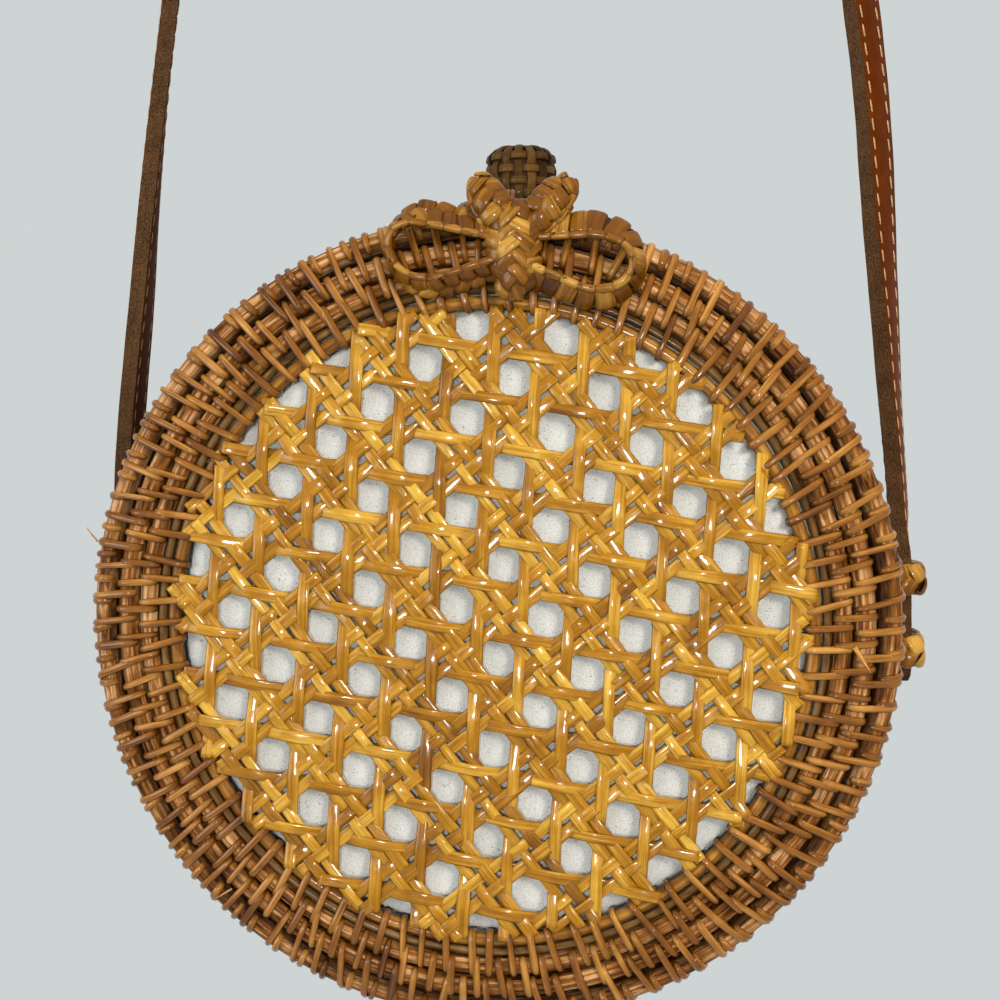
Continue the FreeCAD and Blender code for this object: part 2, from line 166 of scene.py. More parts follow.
class Skin:
    """Swept strands collected into one mesh, with grain coordinates and two shades per point."""

    def __init__(self):
        self.points = []
        self.corners = []
        self.sizes = []
        self.grain = []
        self.tones = []
        self.shades = []
        self.slots = []
        self.total = 0

    def sweep(self, rings, tone=0.5, shade=0.0, closed=False, slot=0):
        """Skins closed sections given as (strands, rings, points, 3), or one strand without that axis."""
        rings = np.asarray(rings, float)
        if rings.ndim == 3:
            rings = rings[None]
        shape = rings.shape[:3]
        index = self.total + np.arange(rings[..., 0].size).reshape(shape)
        if closed:
            index = np.concatenate([index, index[:, :1]], axis=1)
        index = np.concatenate([index, index[:, :, :1]], axis=2)
        grain = grain_of(rings, closed)
        low, high = slice(None, -1), slice(1, None)
        corner = [(low, low), (low, high), (high, high), (high, low)]
        quads = np.stack([index[:, a, b] for a, b in corner], axis=-1).reshape(-1, 4)
        grains = np.stack([grain[:, a, b] for a, b in corner], axis=-2).reshape(-1, 4, 2)
        faces = [(quads, grains)]
        if not closed:
            faces.append((index[:, 0, -2::-1], grain[:, 0, -2::-1]))
            faces.append((index[:, -1, :-1], grain[:, -1, :-1]))
        order = winding(rings)
        for face, face_grain in faces:
            self._faces(face[:, ::order], face_grain[:, ::order], slot)
        self.points.append(rings.reshape(-1, 3))
        tone = np.asarray(tone, float)
        if tone.ndim == 1:
            tone = tone[:, None, None]
        self.tones.append(np.broadcast_to(tone, shape).ravel())
        self.shades.append(np.broadcast_to(shade, shape).ravel())
        self.total += rings[..., 0].size

    def _faces(self, faces, grains, slot):
        self.corners.append(faces.ravel())
        self.sizes.append(np.full(len(faces), faces.shape[1]))
        self.grain.append(grains.reshape(-1, 2))
        self.slots.append(np.full(len(faces), slot))

    def build(self, name, *materials, weld=False):
        mesh = bpy.data.meshes.new(name)
        corners = np.concatenate(self.corners).astype(np.int32)
        sizes = np.concatenate(self.sizes).astype(np.int32)
        mesh.vertices.add(self.total)
        mesh.vertices.foreach_set("co", (np.concatenate(self.points) * MM + BAG).ravel())
        mesh.loops.add(len(corners))
        mesh.loops.foreach_set("vertex_index", corners)
        mesh.polygons.add(len(sizes))
        mesh.polygons.foreach_set("loop_start", np.cumsum(sizes) - sizes)
        mesh.update(calc_edges=True)
        mesh.polygons.foreach_set("material_index", np.concatenate(self.slots).astype(np.int32))
        mesh.polygons.foreach_set("use_smooth", np.ones(len(sizes), bool))
        mesh.uv_layers.new(name="Grain").data.foreach_set("uv", np.concatenate(self.grain).ravel())
        for label, values in (("tone", self.tones), ("shade", self.shades)):
            layer = mesh.attributes.new(label, "FLOAT", "POINT")
            layer.data.foreach_set("value", np.concatenate(values).astype(np.float32))
        if weld:
            shell = bmesh.new()
            shell.from_mesh(mesh)
            bmesh.ops.remove_doubles(shell, verts=shell.verts, dist=MM / 200)
            shell.to_mesh(mesh)
            shell.free()
        for material in materials:
            mesh.materials.append(material)
        piece = bpy.data.objects.new(name, mesh)
        bpy.context.scene.collection.objects.link(piece)
        return piece


def add_piece(skin, name, look, body, slot, *nodes, weld=False):
    """Builds a piece that rides a body and stands for the given solids."""
    piece = skin.build(name, look, weld=weld)
    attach(piece, body)
    if nodes:
        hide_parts(*nodes)
    return piece


def unit(vectors):
    return vectors / np.maximum(np.linalg.norm(vectors, axis=-1, keepdims=True), 1e-9)


def tangents(path, closed=False):
    if closed:
        return unit(np.roll(path, -1, axis=-2) - np.roll(path, 1, axis=-2))
    return unit(np.gradient(path, axis=-2))


def place(path, normal, section, closed=False):
    """Sections (points, 2), wide and high, set square to a path with their tops towards normal."""
    forward = tangents(path, closed)
    up = unit(normal - np.sum(normal * forward, axis=-1, keepdims=True) * forward)
    side = np.cross(up, forward)
    section = np.asarray(section, float)
    wide, high = section[..., 0:1], section[..., 1:2]
    return path[..., None, :] + wide * side[..., None, :] + high * up[..., None, :]


def oval(width, height, points=8, flat=2.0):
    """A closed section, squarer as flat grows."""
    turn = np.arange(points) * 2 * np.pi / points + np.pi / points
    curve = np.stack([np.cos(turn), np.sin(turn)], axis=-1)
    curve = np.sign(curve) * np.abs(curve) ** (2 / flat)
    return curve * [width / 2, height / 2]


def domed(base, *side):
    """An outline that is flat below, at the base, and rises by the side's points to a middle of 1."""
    mirrored = [(-wide, high) for wide, high in side[::-1]]
    return np.array([(-1, base), (1, base), *side, (0, 1), *mirrored], float)


def half_round(width, height):
    """Section of a split strip: flat below, domed above."""
    return domed(-0.15, (0.78, 0.62)) * [width / 2, height]


def widened(section, widths):
    """A section for each width, as high as before."""
    widths = np.asarray(widths)[..., None]
    return section * np.stack([widths, np.ones_like(widths)], axis=-1)


def ease(value):
    value = np.clip(value, 0, 1)
    return value * value * (3 - 2 * value)


def stacked(x, y, z):
    """Points from their three coordinates."""
    return np.stack(np.broadcast_arrays(x, y, z), axis=-1)


def polar(radius, depth, turn):
    """Points round the bag's axis: turn 0 is to the right and a quarter turn is up."""
    return stacked(radius * np.cos(turn), depth, radius * np.sin(turn))


def fan(angle, ahead, aside):
    """Directions turned by an angle from ahead towards aside."""
    angle = np.asarray(angle)[..., None]
    return np.cos(angle) * ahead + np.sin(angle) * aside


def full_turn(count):
    return np.linspace(0, 2 * np.pi, count, endpoint=False)


def mixed_tones(middle, spread, count):
    """A tone for each strand, round a middle one."""
    return np.clip(middle + RANDOM.normal(0, spread, count), 0.05, 1)


def wander(turn, strength, waves=5):
    """Slow uneven change that closes on itself after a full turn."""
    total = np.zeros_like(turn)
    for wave in range(1, waves + 1):
        total += np.sin(wave * turn + RANDOM.uniform(0, 2 * np.pi)) * RANDOM.normal() / wave
    return total * strength


def walked(path):
    """Distance along a path at each of its points."""
    return np.concatenate([[0], np.cumsum(np.linalg.norm(np.diff(path, axis=0), axis=1))])


def sample(spots, walk, values):
    """Vectors read off a path at distances along it."""
    return np.stack([np.interp(spots, walk, values[:, axis]) for axis in range(3)], axis=-1)


def resample(path, step):
    """Points spaced evenly along a path."""
    walk = walked(path)
    return sample(np.linspace(0, walk[-1], max(2, round(walk[-1] / step) + 1)), walk, path)


def linear(red, green, blue):
    """A colour as seen on screen, 0 to 255, for a shader."""
    values = [channel / 255 for channel in (red, green, blue)]
    return [v / 12.92 if v <= 0.04045 else ((v + 0.055) / 1.055) ** 2.4 for v in values] + [1.0]


class Nodes:
    """A node tree, with short calls for the nodes used here."""

    def __init__(self, tree):
        self.tree = tree

    def node(self, kind, inputs=(), **settings):
        made = self.tree.nodes.new("ShaderNode" + kind)
        for key, value in settings.items():
            setattr(made, key, value)
        for key, value in dict(inputs).items():
            self.set(made.inputs[key], value)
        return made

    def set(self, socket, value):
        if isinstance(value, bpy.types.NodeSocket):
            self.tree.links.new(value, socket)
        else:
            socket.default_value = value

    def math(self, operation, first, second=0.0):
        return self.node("Math", {0: first, 1: second}, operation=operation).outputs[0]

    def attribute(self, name):
        return self.node("Attribute", attribute_name=name).outputs["Fac"]

    def noise(self, scale, stretch=(1, 1, 1), vector=None, detail=3.0, seed=None):
        """Noise on bag millimetres, or on the grain coordinates where a vector is given."""
        if vector is None:
            vector = self.node("TexCoord").outputs["Object"]
            scale = scale / MM
        mapped = self.node("Mapping", {"Vector": vector, "Scale": stretch}).outputs[0]
        inputs = {"Vector": mapped, "Scale": scale, "Detail": detail}
        if seed is None:
            return self.node("TexNoise", inputs).outputs["Fac"]
        inputs["W"] = seed
        return self.node("TexNoise", inputs, noise_dimensions="4D").outputs["Fac"]

    def ramp(self, value, stops):
        made = self.node("ValToRGB", {"Fac": value})
        elements = made.color_ramp.elements
        while len(elements) < len(stops):
            elements.new(0.5)
        for element, (place_at, colour) in zip(elements, stops):
            element.position = place_at
            element.color = colour
        return made.outputs["Color"]

    def mix(self, factor, first, second):
        made = self.node("Mix", data_type="RGBA")
        self.set(made.inputs["Factor"], factor)
        self.set(made.inputs[6], first)
        self.set(made.inputs[7], second)
        return made.outputs[2]

    def between(self, value, low, high):
        made = self.node("MapRange", {"Value": value, "To Min": low, "To Max": high})
        return made.outputs["Result"]

    def bump(self, height, distance, strength=1.0, normal=None):
        inputs = {"Height": height, "Distance": distance, "Strength": strength}
        if normal is not None:
            inputs["Normal"] = normal
        return self.node("Bump", inputs).outputs["Normal"]


class Finish(Nodes):
    """A material's nodes up to its shader."""

    def __init__(self, name):
        self.material = bpy.data.materials.new(name)
        self.material.use_nodes = True
        super().__init__(self.material.node_tree)
        self.shader = self.tree.nodes["Principled BSDF"]

    def finish(self, colour, roughness, normal, **constants):
        self.set(self.shader.inputs["Base Color"], colour)
        self.set(self.shader.inputs["Roughness"], roughness)
        self.set(self.shader.inputs["Normal"], normal)
        for key, value in constants.items():
            self.shader.inputs[key.replace("_", " ").title().replace("Ior", "IOR")].default_value = value
        return self.material


# Surface of a strand: how its fibres, streaks and dents stretch along the grain, and the colour of the
# painted shade in its gaps
fibre_stretch = (0.09, 3.4, 1.0)
streak_stretch = (0.035, 0.9, 1.0)
dent_stretch = (0.24, 0.7, 1.0)
blotch_scale = 0.11
seed_per_tone = 61.0
gap_shade_colour = linear(38, 20, 9)


def strand_finish(name, dark, middle, light, rough, coat, ridge, spread=0.55, painted_shade_weight=0.75,
                  groove=0.0, dent=0.0, haze=0.11, shine=0.06):
    """Lacquered plant strand: fibres along the strand, shades per strand, painted shade in the gaps.

    Ridge, groove and dent are the heights in millimetres of its fine, middle and short unevenness."""
    made = Finish(name)
    grain = made.node("UVMap", uv_map="Grain").outputs[0]
    tone = made.attribute("tone")
    shade = made.attribute("shade")
    seed = made.math("MULTIPLY", tone, seed_per_tone)
    fibre = made.noise(1.0, fibre_stretch, grain, 4.0, seed)
    streak = made.noise(1.0, streak_stretch, grain, 2.0, seed)
    blotch = made.noise(blotch_scale)
    value = made.math("ADD", tone, made.between(streak, -spread, spread))
    value = made.math("ADD", value, made.between(blotch, -spread * 0.7, spread * 0.7))
    value = made.math("ADD", value, made.between(fibre, -spread * 0.5, spread * 0.5))
    colour = made.ramp(value, [(0.0, linear(*dark)), (0.5, linear(*middle)), (1.0, linear(*light))])
    # Painted shade: the shade attribute darkens the colour in gaps, hollows and under crossings
    painted_shade_mix = made.math("MULTIPLY", shade, painted_shade_weight)
    colour = made.mix(painted_shade_mix, colour, gap_shade_colour)
    roughness = made.between(fibre, *rough)
    normal = made.bump(fibre, ridge * MM)
    if groove:
        normal = made.bump(streak, groove * MM, 1.0, normal)
    if dent:
        normal = made.bump(made.noise(1.0, dent_stretch, grain, 1.0, seed), dent * MM, 1.0, normal)
    return made.finish(colour, roughness, normal, coat_weight=coat, coat_roughness=haze,
                       specular_ior_level=shine)


# Leather and cotton: cells of their grain and weave to a millimetre, and what darkens them
pebble_scale = 1.3
edge_darkening = linear(40, 22, 12)
thread_scale = 2.1
thread_gap = linear(136, 134, 128)
seed_fleck = linear(88, 78, 70)
BLACK = (0, 0, 0, 1)
WHITE = (1, 1, 1, 1)


def leather_finish(name, dark, middle, rough, pebble, shine):
    """Leather: fine pebble grain, long soft creases and a little wear in its colour."""
    made = Finish(name)
    inputs = {"Vector": made.node("TexCoord").outputs["Object"], "Scale": pebble_scale / MM}
    cells = made.node("TexVoronoi", inputs, feature="SMOOTH_F1").outputs["Distance"]
    soft = made.noise(0.25, detail=4.0)
    broad = made.noise(0.05)
    value = made.math("ADD", made.between(soft, 0.1, 0.9), made.between(broad, -0.4, 0.4))
    colour = made.ramp(value, [(0.1, linear(*dark)), (0.8, linear(*middle))])
    # Darker towards the ply's cut edges, where the strap sets the shade attribute
    colour = made.mix(made.math("MULTIPLY", made.attribute("shade"), 0.8), colour, edge_darkening)
    roughness = made.between(soft, *rough)
    normal = made.bump(cells, pebble * MM, 0.6)
    return made.finish(colour, roughness, normal, specular_ior_level=shine)


def suede_finish(name, dark, light):
    """Raw cut edge and flesh side of leather: short loose fibres, no gloss."""
    made = Finish(name)
    nap = made.noise(2.4, detail=4.0)
    broad = made.noise(0.2)
    value = made.math("ADD", made.between(nap, 0.0, 1.0), made.between(broad, -0.2, 0.2))
    colour = made.ramp(value, [(0.3, linear(*dark)), (0.75, linear(*light))])
    normal = made.bump(nap, 0.5 * MM)
    return made.finish(colour, 0.9, normal, sheen_weight=0.04, sheen_roughness=0.6, specular_ior_level=0.05)


def cotton_finish(name):
    """Plain woven cotton with small dark seed flecks."""
    made = Finish(name)
    spot = made.node("TexCoord").outputs["Object"]
    inputs = {"Vector": spot, "Scale": thread_scale / MM, "Randomness": 0.7}
    weave = made.between(made.node("TexVoronoi", inputs).outputs["Distance"], 0.0, 1.0)
    flecks = made.noise(1.5, detail=1.0)
    fleck = made.ramp(flecks, [(0.7, BLACK), (0.74, WHITE)])
    cloud = made.noise(0.06)
    colour = made.ramp(cloud, [(0.3, linear(200, 201, 196)), (0.7, linear(212, 213, 209))])
    dots = made.ramp(weave, [(0.12, WHITE), (0.42, BLACK)])
    colour = made.mix(made.math("MULTIPLY", dots, 0.6), colour, thread_gap)
    colour = made.mix(made.math("MULTIPLY", fleck, 0.5), colour, seed_fleck)
    normal = made.bump(weave, 0.12 * MM, 0.5)
    return made.finish(colour, 0.88, normal, specular_ior_level=0.2)


def thread_finish(name, dark, light):
    """Twisted sewing thread."""
    made = Finish(name)
    grain = made.node("UVMap", uv_map="Grain").outputs[0]
    inputs = {"Vector": grain, "Scale": 1.1, "Distortion": 0.8}
    twist = made.node("TexWave", inputs, bands_direction="DIAGONAL").outputs["Fac"]
    colour = made.ramp(twist, [(0.1, linear(*dark)), (0.8, linear(*light))])
    return made.finish(colour, 0.6, made.bump(twist, 0.08 * MM))


core_look = strand_finish("rattan_core", (50, 24, 4), (134, 82, 32), (208, 160, 108), rough=(0.32, 0.5),
                          coat=0.08, ridge=0.35, spread=1.15, groove=0.9)
strip_look = strand_finish("rattan_strip", (72, 34, 0), (132, 80, 14), (186, 132, 58), rough=(0.24, 0.4),
                           coat=0.75, ridge=0.12, spread=0.7, dent=0.3)
cane_look = strand_finish("cane", (102, 59, 0), (160, 107, 2), (210, 166, 60), rough=(0.14, 0.3),
                          coat=0.5, ridge=0.16, spread=0.6, groove=0.35, dent=0.5, shine=0.14)
rod_look = strand_finish("edge_rod", (84, 46, 8), (140, 90, 24), (182, 132, 58), rough=(0.24, 0.4),
                         coat=0.35, ridge=0.14, spread=0.8, groove=0.3)
clamp_look = strand_finish("clamp_rod", (48, 30, 10), (96, 66, 28), (136, 102, 56), rough=(0.3, 0.5),
                           coat=0.2, ridge=0.14, spread=0.8)
grass_look = strand_finish("plaited_grass", (56, 25, 0), (116, 69, 0), (200, 152, 60), rough=(0.26, 0.42),
                           coat=0.55, ridge=0.2, spread=0.36, painted_shade_weight=0.9, groove=0.2, dent=0.35, haze=0.16)
knob_look = strand_finish("knob_splint", (14, 7, 0), (42, 25, 4), (94, 66, 26), rough=(0.34, 0.55),
                          coat=0.12, ridge=0.16, spread=0.5, groove=0.2)
wood_look = strand_finish("knob_wood", (34, 20, 10), (60, 38, 20), (84, 56, 32), rough=(0.4, 0.6),
                          coat=0.1, ridge=0.08)
tan_look = leather_finish("strap_tan", (66, 24, 0), (98, 44, 4), rough=(0.4, 0.55), pebble=0.05, shine=0.03)
brown_look = leather_finish("strap_brown", (34, 16, 6), (62, 32, 13), rough=(0.75, 0.9), pebble=0.08,
                            shine=0.08)
raw_look = suede_finish("strap_raw_edge", (48, 30, 15), (100, 70, 42))
cotton_look = cotton_finish("cotton_lining")
thread_look = thread_finish("strap_thread", (150, 116, 78), (204, 174, 136))
brown_thread_look = thread_finish("strap_thread_brown", (70, 46, 28), (118, 86, 58))


# Section of a row, in degrees from its seen side: reach of the fine points, the few points behind, and where
# the shade of the gaps starts and over how much it grows
fine_reach = 112
points_behind = (146, 180, 214)
shade_from = 38
shade_over = 50


def row_section(half, facing, turns, visible=15, ridges=8, ridge=0.1):
    """Ridged round sections along a row: fine points on the seen side, few behind."""
    angle = np.radians(np.concatenate([np.linspace(-fine_reach, fine_reach, visible), points_behind]))
    drift = wander(turns, 1.6)[:, None]
    swell = 1 + wander(turns, 0.012, waves=9)[:, None]
    lobe = np.abs(np.cos((ridges * angle + drift) / 2))
    radius = half * swell * (1 - ridge + ridge * lobe)
    section = np.stack([radius * np.cos(angle + facing), radius * np.sin(angle + facing)], axis=-1)
    shade = ease((np.abs(np.degrees(angle)) - shade_from) / shade_over)
    crease = 0.4 * ease(1 - lobe / 0.5)
    return section, np.clip(shade + crease, 0, 1)


def coil_row(skin, radius, depth, half, facing, segments=240, visible=15):
    """One closed row round the bag's axis; facing is the seen side's angle from outwards to +Y."""
    turns = full_turn(segments)
    section, shade = row_section(half, facing, turns, visible)
    rings = polar(radius + section[..., 0], depth + section[..., 1], turns[:, None])
    tone = 0.5 + wander(turns, 0.06, waves=8)[:, None]
    skin.sweep(rings, tone[None], shade, closed=True)


def stitch_line(first, second, before, after, turn, spots=6):
    """A strip pulled tight over two rows, as points and outward directions in (radius, depth)."""
    apart = np.array(second[:2]) - np.array(first[:2])
    gap = np.linalg.norm(apart)
    along = apart / gap
    tilt = (first[2] - second[2]) / gap
    outward = turn * np.array([-along[1], along[0]]) * math.sqrt(1 - tilt * tilt) + along * tilt
    top = math.atan2(outward[1], outward[0])

    def tucked(direction):
        """Angle from the top to a direction, less the tuck between the rows."""
        angle = (math.atan2(direction[1], direction[0]) - top + math.pi) % (2 * math.pi) - math.pi
        return angle - math.copysign(stitch_tuck, angle)

    angles = [np.linspace(tucked(before), 0, spots), np.linspace(0, tucked(after), spots)]
    angles = top + np.concatenate(angles)
    outs = np.stack([np.cos(angles), np.sin(angles)], axis=-1)
    rows = np.repeat([first, second], spots, axis=0)
    return rows[:, :2] + rows[:, 2:] * outs, outs


def staggered(index, count, unevenness):
    """Turns of a round of stitches, half a step further in every second round."""
    step = 2 * np.pi / count
    return (np.arange(count) + 0.5 * (index % 2)) * step + RANDOM.normal(0, unevenness, count) * step


def stitches(skin, line, outs, turns, spiral=None):
    """Strips over one pair of rows at the given turns, each a little different."""
    count = len(turns)
    walk = walked(line)
    middle = walk[-1] / 2
    lean = np.tan(stitch_slant + RANDOM.normal(0, stitch_slant_spread, count))
    mean_radius = np.maximum(line[:, 0].mean(), smallest_round)
    swing = turns[:, None] - lean[:, None] * (walk - middle)[None] / mean_radius
    radius = line[:, 0]
    if spiral is not None:
        radius = radius + spiral(swing)
    lift = np.zeros(len(line))
    lift[[0, -1]] = -stitch_dips[0]
    lift[[1, -2]] = -stitch_dips[1]
    loose = RANDOM.uniform(0, stitch_slack, count)[:, None] * np.sin(np.pi * walk / walk[-1])[None]
    height = lift[None] + loose
    path = polar(radius + height * outs[:, 0], line[:, 1] + height * outs[:, 1], swing)
    normal = polar(outs[:, 0], outs[:, 1], swing)
    section = widened(half_round(stitch_width, stitch_height), RANDOM.normal(1, 0.08, count)[:, None])
    tone = mixed_tones(0.5, 0.11, count)
    shade = np.clip(1 - np.minimum(walk, walk[-1] - walk) / stitch_end_shade, 0, 1)[None, :, None] * 0.9
    skin.sweep(place(path, normal, section), tone, shade)


def half_rows(sign):
    """Rows of one half from the seam to the face: radius, depth and half size."""
    count = front_rows if sign < 0 else back_rows
    depths = [sign * (seam_half + (index + 0.5) * row_pitch) for index in range(count)]
    return [(wall_row_radius, depth, row_half) for depth in depths]


def wall_rows(half, rows, facing, *fineness):
    """The rows of one half's wall; the last one, at the corner, is turned towards its face."""
    wall = Skin()
    for row in rows[:-1]:
        coil_row(wall, *row, 0.0)
    coil_row(wall, *rows[-1], facing, *fineness)
    add_piece(wall, half + "_wall_rows", core_look, half + "_half", "rattan_core", half + "_wall_coil")


def lash_rows(skin, rows, seam_sign, last_way):
    """Strips over every neighbouring pair of rows, staggered by half a stitch from pair to pair."""
    middles = [np.array(row[:2]) for row in rows]
    step = 2 * np.pi / stitch_count
    for index in range(len(rows) - 1):
        before = middles[index - 1] - middles[index] if index else (0.35, -seam_sign)
        after = last_way
        if index + 2 < len(rows):
            after = middles[index + 2] - middles[index + 1]
        line, outs = stitch_line(rows[index], rows[index + 1], before, after, -seam_sign)
        turns = staggered(index, stitch_count, unevenness=0.09)
        stitches(skin, line, outs, turns + wander(turns, 0.12, waves=6) * step)


def loose_ends(skin):
    """The worn strip ends, curling forward and running to a point."""
    spots = np.linspace(0, 1, 9)
    for start, heading, length, width in worn_ends:
        path = np.array(start) + length * spots[:, None] * fan(math.radians(heading), X, Z)
        path = path - (1.4 * np.sin(1.3 * spots))[:, None] * Y
        section = widened(half_round(1.0, 0.4), width * (1.05 - spots ** 2))
        skin.sweep(place(path, -Y, section), tone=0.95)


def front_coils():
    rows = half_rows(-1)
    wall_rows("front", rows, -corner_facing, *front_fineness)
    middle_depth = face_crest - middle_row_drop - middle_row_half
    middle = (face_outer - middle_row_inset, -middle_depth, middle_row_half)
    inner = (face_outer - inner_row_inset, -(face_crest - inner_row_half), inner_row_half)
    face = Skin()
    for row in (middle, inner):
        coil_row(face, *row, to_front, *front_fineness)
    add_piece(face, "front_face_rows", core_look, "front_half", "rattan_core", "front_face_coil")
    edge = (edge_radius, -(rod_front - edge_half), edge_half + edge_stitch_lift)
    lashing = Skin()
    lash_rows(lashing, rows + [middle, inner, edge], -1, (-1.0, 0.25))
    loose_ends(lashing)
    add_piece(lashing, "front_lashing", strip_look, "front_half", "rattan_core")


def panel_rods():
    """The thin clamp rod and the golden edge rod round the opening."""
    turns = full_turn(300)
    for name, radius, half, look in (("clamp_rod", clamp_radius, clamp_half, clamp_look),
                                     ("edge_rod", edge_radius, edge_half, rod_look)):
        section, shade = row_section(half, to_front, turns, visible=13, ridges=6, ridge=0.05)
        around = radius + wander(turns, 0.05)[:, None]
        rings = polar(around + section[..., 0], -(rod_front - half) + section[..., 1], turns[:, None])
        tone = 0.5 + wander(turns, 0.08, waves=9)[:, None]
        skin = Skin()
        skin.sweep(rings, tone[None], shade, closed=True)
        add_piece(skin, "front_" + name, look, "front_half", "rattan_rod", "panel_" + name)


# Cane webbing: lattice steps, where a gap's middle lies, spacing in the pairs, strand sizes
cane_step_rising = np.array([11.50, 9.61])
cane_step_falling = np.array([10.22, -13.11])
cane_gap_at = np.array([-7.75, 5.25])
pair_rising = 4.2
pair_falling = 3.1
lattice_reach = 9
strand_width = 2.95
strand_thickness = 0.62
strand_step = 1.2
shortest_half = 12
panel_low, panel_high = node_box("cane_panel")
panel_depth = (panel_low[1] + panel_high[1]) / 2
panel_radius = panel_high[0]
strand_inset = 2.0
strand_end_spread = 0.9
strand_shift = 0.22
weave_rise = 0.36
diagonal_rise = 0.72
rim_rise = 0.35
rim_rise_from = 73
rim_rise_over = 5
cane_outline = domed(-0.6, (1.0, 0.2), (0.8, 0.72), (0.4, 0.95)) * [0.5, strand_thickness / 2]
lattice = np.stack([cane_step_rising, cane_step_falling], axis=1)


def cane_strands():
    """Every strand as (a point on it, direction, height along it), from the gaps' lattice."""
    cell = abs(np.linalg.det(lattice))
    rising_half = pair_rising / 2 * np.linalg.norm(cane_step_rising) / cell
    falling_half = pair_falling / 2 * np.linalg.norm(cane_step_falling) / cell

    def at(u, v):
        return cane_gap_at + lattice @ np.array([u, v])

    def plain(spot, half):
        """Over one strand of a crossing pair and under the other, level between pairs."""
        offset = spot - np.floor(spot) - 0.5
        inside = -np.sin(np.pi * offset / (2 * half))
        fall = np.cos(np.pi / 2 * np.clip((np.abs(offset) - half) / (0.5 - half), 0, 1)) ** 2
        return np.where(np.abs(offset) <= half, inside, -np.sign(offset) * fall)

    strands = []
    for k in range(-lattice_reach, lattice_reach + 1):
        for side in (-1, 1):
            strands.append((at(0, k + 0.5 + side * rising_half), cane_step_rising,
                            lambda uv, w=-side: w * weave_rise * plain(uv[0], falling_half)))
            strands.append((at(k + 0.5 + side * falling_half, 0), cane_step_falling,
                            lambda uv, w=side: w * weave_rise * plain(uv[1], rising_half)))
        strands.append((at(k + 0.5, 0), cane_step_rising + cane_step_falling,
                        lambda uv: -diagonal_rise * np.cos(2 * np.pi * uv[0])))
        strands.append((at(k + 0.5, 0), cane_step_falling - cane_step_rising,
                        lambda uv: diagonal_rise * np.cos(2 * np.pi * uv[0])))
    return strands


def cane_strand(skin, start, direction, height):
    """One strand between two points of the panel's rim, left out where it would be short."""
    ahead = direction / np.linalg.norm(direction)
    across = np.array([-ahead[1], ahead[0]])
    start = start + across * RANDOM.normal(0, strand_shift)
    nearest = start - ahead * (start @ ahead)
    reach = panel_radius - strand_inset + RANDOM.normal(0, strand_end_spread, 2)
    chord = reach ** 2 - nearest @ nearest
    if chord.min() < shortest_half ** 2:
        return
    low, high = -math.sqrt(chord[0]), math.sqrt(chord[1])
    walk = np.linspace(low, high, int((high - low) / strand_step) + 2)
    phase = RANDOM.uniform(0, 2 * np.pi, 2)
    drift = 0.16 * np.sin(walk / 17 + phase[0]) + 0.1 * np.sin(walk / 6.3 + phase[1])
    flat = nearest + ahead * walk[:, None] + across * drift[:, None]
    rise = height(np.linalg.inv(lattice) @ (flat - cane_gap_at).T)
    rise = rise + rim_rise * ease((np.linalg.norm(flat, axis=1) - rim_rise_from) / rim_rise_over)
    rise = rise + 0.05 * np.sin(walk / 1.1 + phase[0])
    path = stacked(flat[:, 0], panel_depth - rise, flat[:, 1])
    roll = 0.1 * np.sin(walk / 9 + phase[1]) + RANDOM.normal(0, 0.05)
    normal = stacked(across[0] * roll, -1.0, across[1] * roll)
    width = strand_width * RANDOM.normal(1, 0.07) * (1 + 0.05 * np.sin(walk / 5 + phase[0]))
    section = widened(cane_outline, width)
    tone = np.clip(RANDOM.normal(0.55, 0.13), 0.1, 0.95)
    edges = np.abs(section[:, :, 0]) > 0.48 * width[:, None]
    shade = 0.55 * ease(-rise / diagonal_rise)[:, None] + 0.35 * edges
    skin.sweep(place(path, normal, section), tone, shade)


def cane_panel():
    skin = Skin()
    for strand in cane_strands():
        cane_strand(skin, *strand)
    add_piece(skin, "cane_webbing", cane_look, "front_half", "cane", "cane_panel")


lining_thickness = 0.8
lining_turns = full_turn(160)


def face_lining(half, sign):
    """Cotton disc behind a face; the front one stands further forward inside the edge rod."""
    node = half + "_face_lining"
    low, high = node_box(node)
    outer = high[0]
    if sign < 0:
        shoulder = edge_radius - edge_half
        spots = np.concatenate([np.linspace(0, shoulder - 0.9, 28), np.linspace(shoulder, outer, 6)])
        crown = np.where(spots < shoulder - 0.5, abs(low[1]), abs(high[1]) + lining_thickness)
    else:
        spots = np.linspace(0, outer, 30)
        crown = np.full_like(spots, abs(high[1]))
    wave = sum(np.sin(k * lining_turns + RANDOM.uniform(0, 6)) * RANDOM.normal() for k in range(2, 8))
    puff = 0.07 * wave[:, None] * (spots / outer * np.sin(np.pi * spots / outer))[None]
    over = sign * (crown[None] - np.abs(puff))
    under = over - sign * lining_thickness
    radius = np.concatenate([spots, spots[::-1]])
    depth = np.concatenate([over, under[:, ::-1]], axis=1)
    disc = Skin()
    disc.sweep(polar(radius, depth, lining_turns[:, None]), closed=True)
    piece = add_piece(disc, half + "_face_cotton", cotton_look, half + "_half", "cotton_lining", node,
                      weld=True)


def wall_lining(half):
    """Cotton band inside a wall."""
    node = half + "_wall_lining"
    low, high = node_box(node)
    wide = high[1] - low[1]
    spots = np.linspace(low[1], high[1], 9)
    wave = wander(lining_turns, 0.12, waves=9)[:, None] * np.sin(np.pi * (spots - low[1]) / wide)[None]
    outside = high[0] - np.abs(wave)
    radius = np.concatenate([outside, outside[:, ::-1] - lining_thickness], axis=1)
    depth = np.concatenate([spots, spots[::-1]])
    band = Skin()
    band.sweep(polar(radius, depth, lining_turns[:, None]), closed=True)
    piece = add_piece(band, half + "_wall_cotton", cotton_look, half + "_half", "cotton_lining", node)


def linings():
    """Cotton sheets: a disc and a band in each half."""
    for half, sign in (("front", -1), ("back", 1)):
        face_lining(half, sign)
        wall_lining(half)


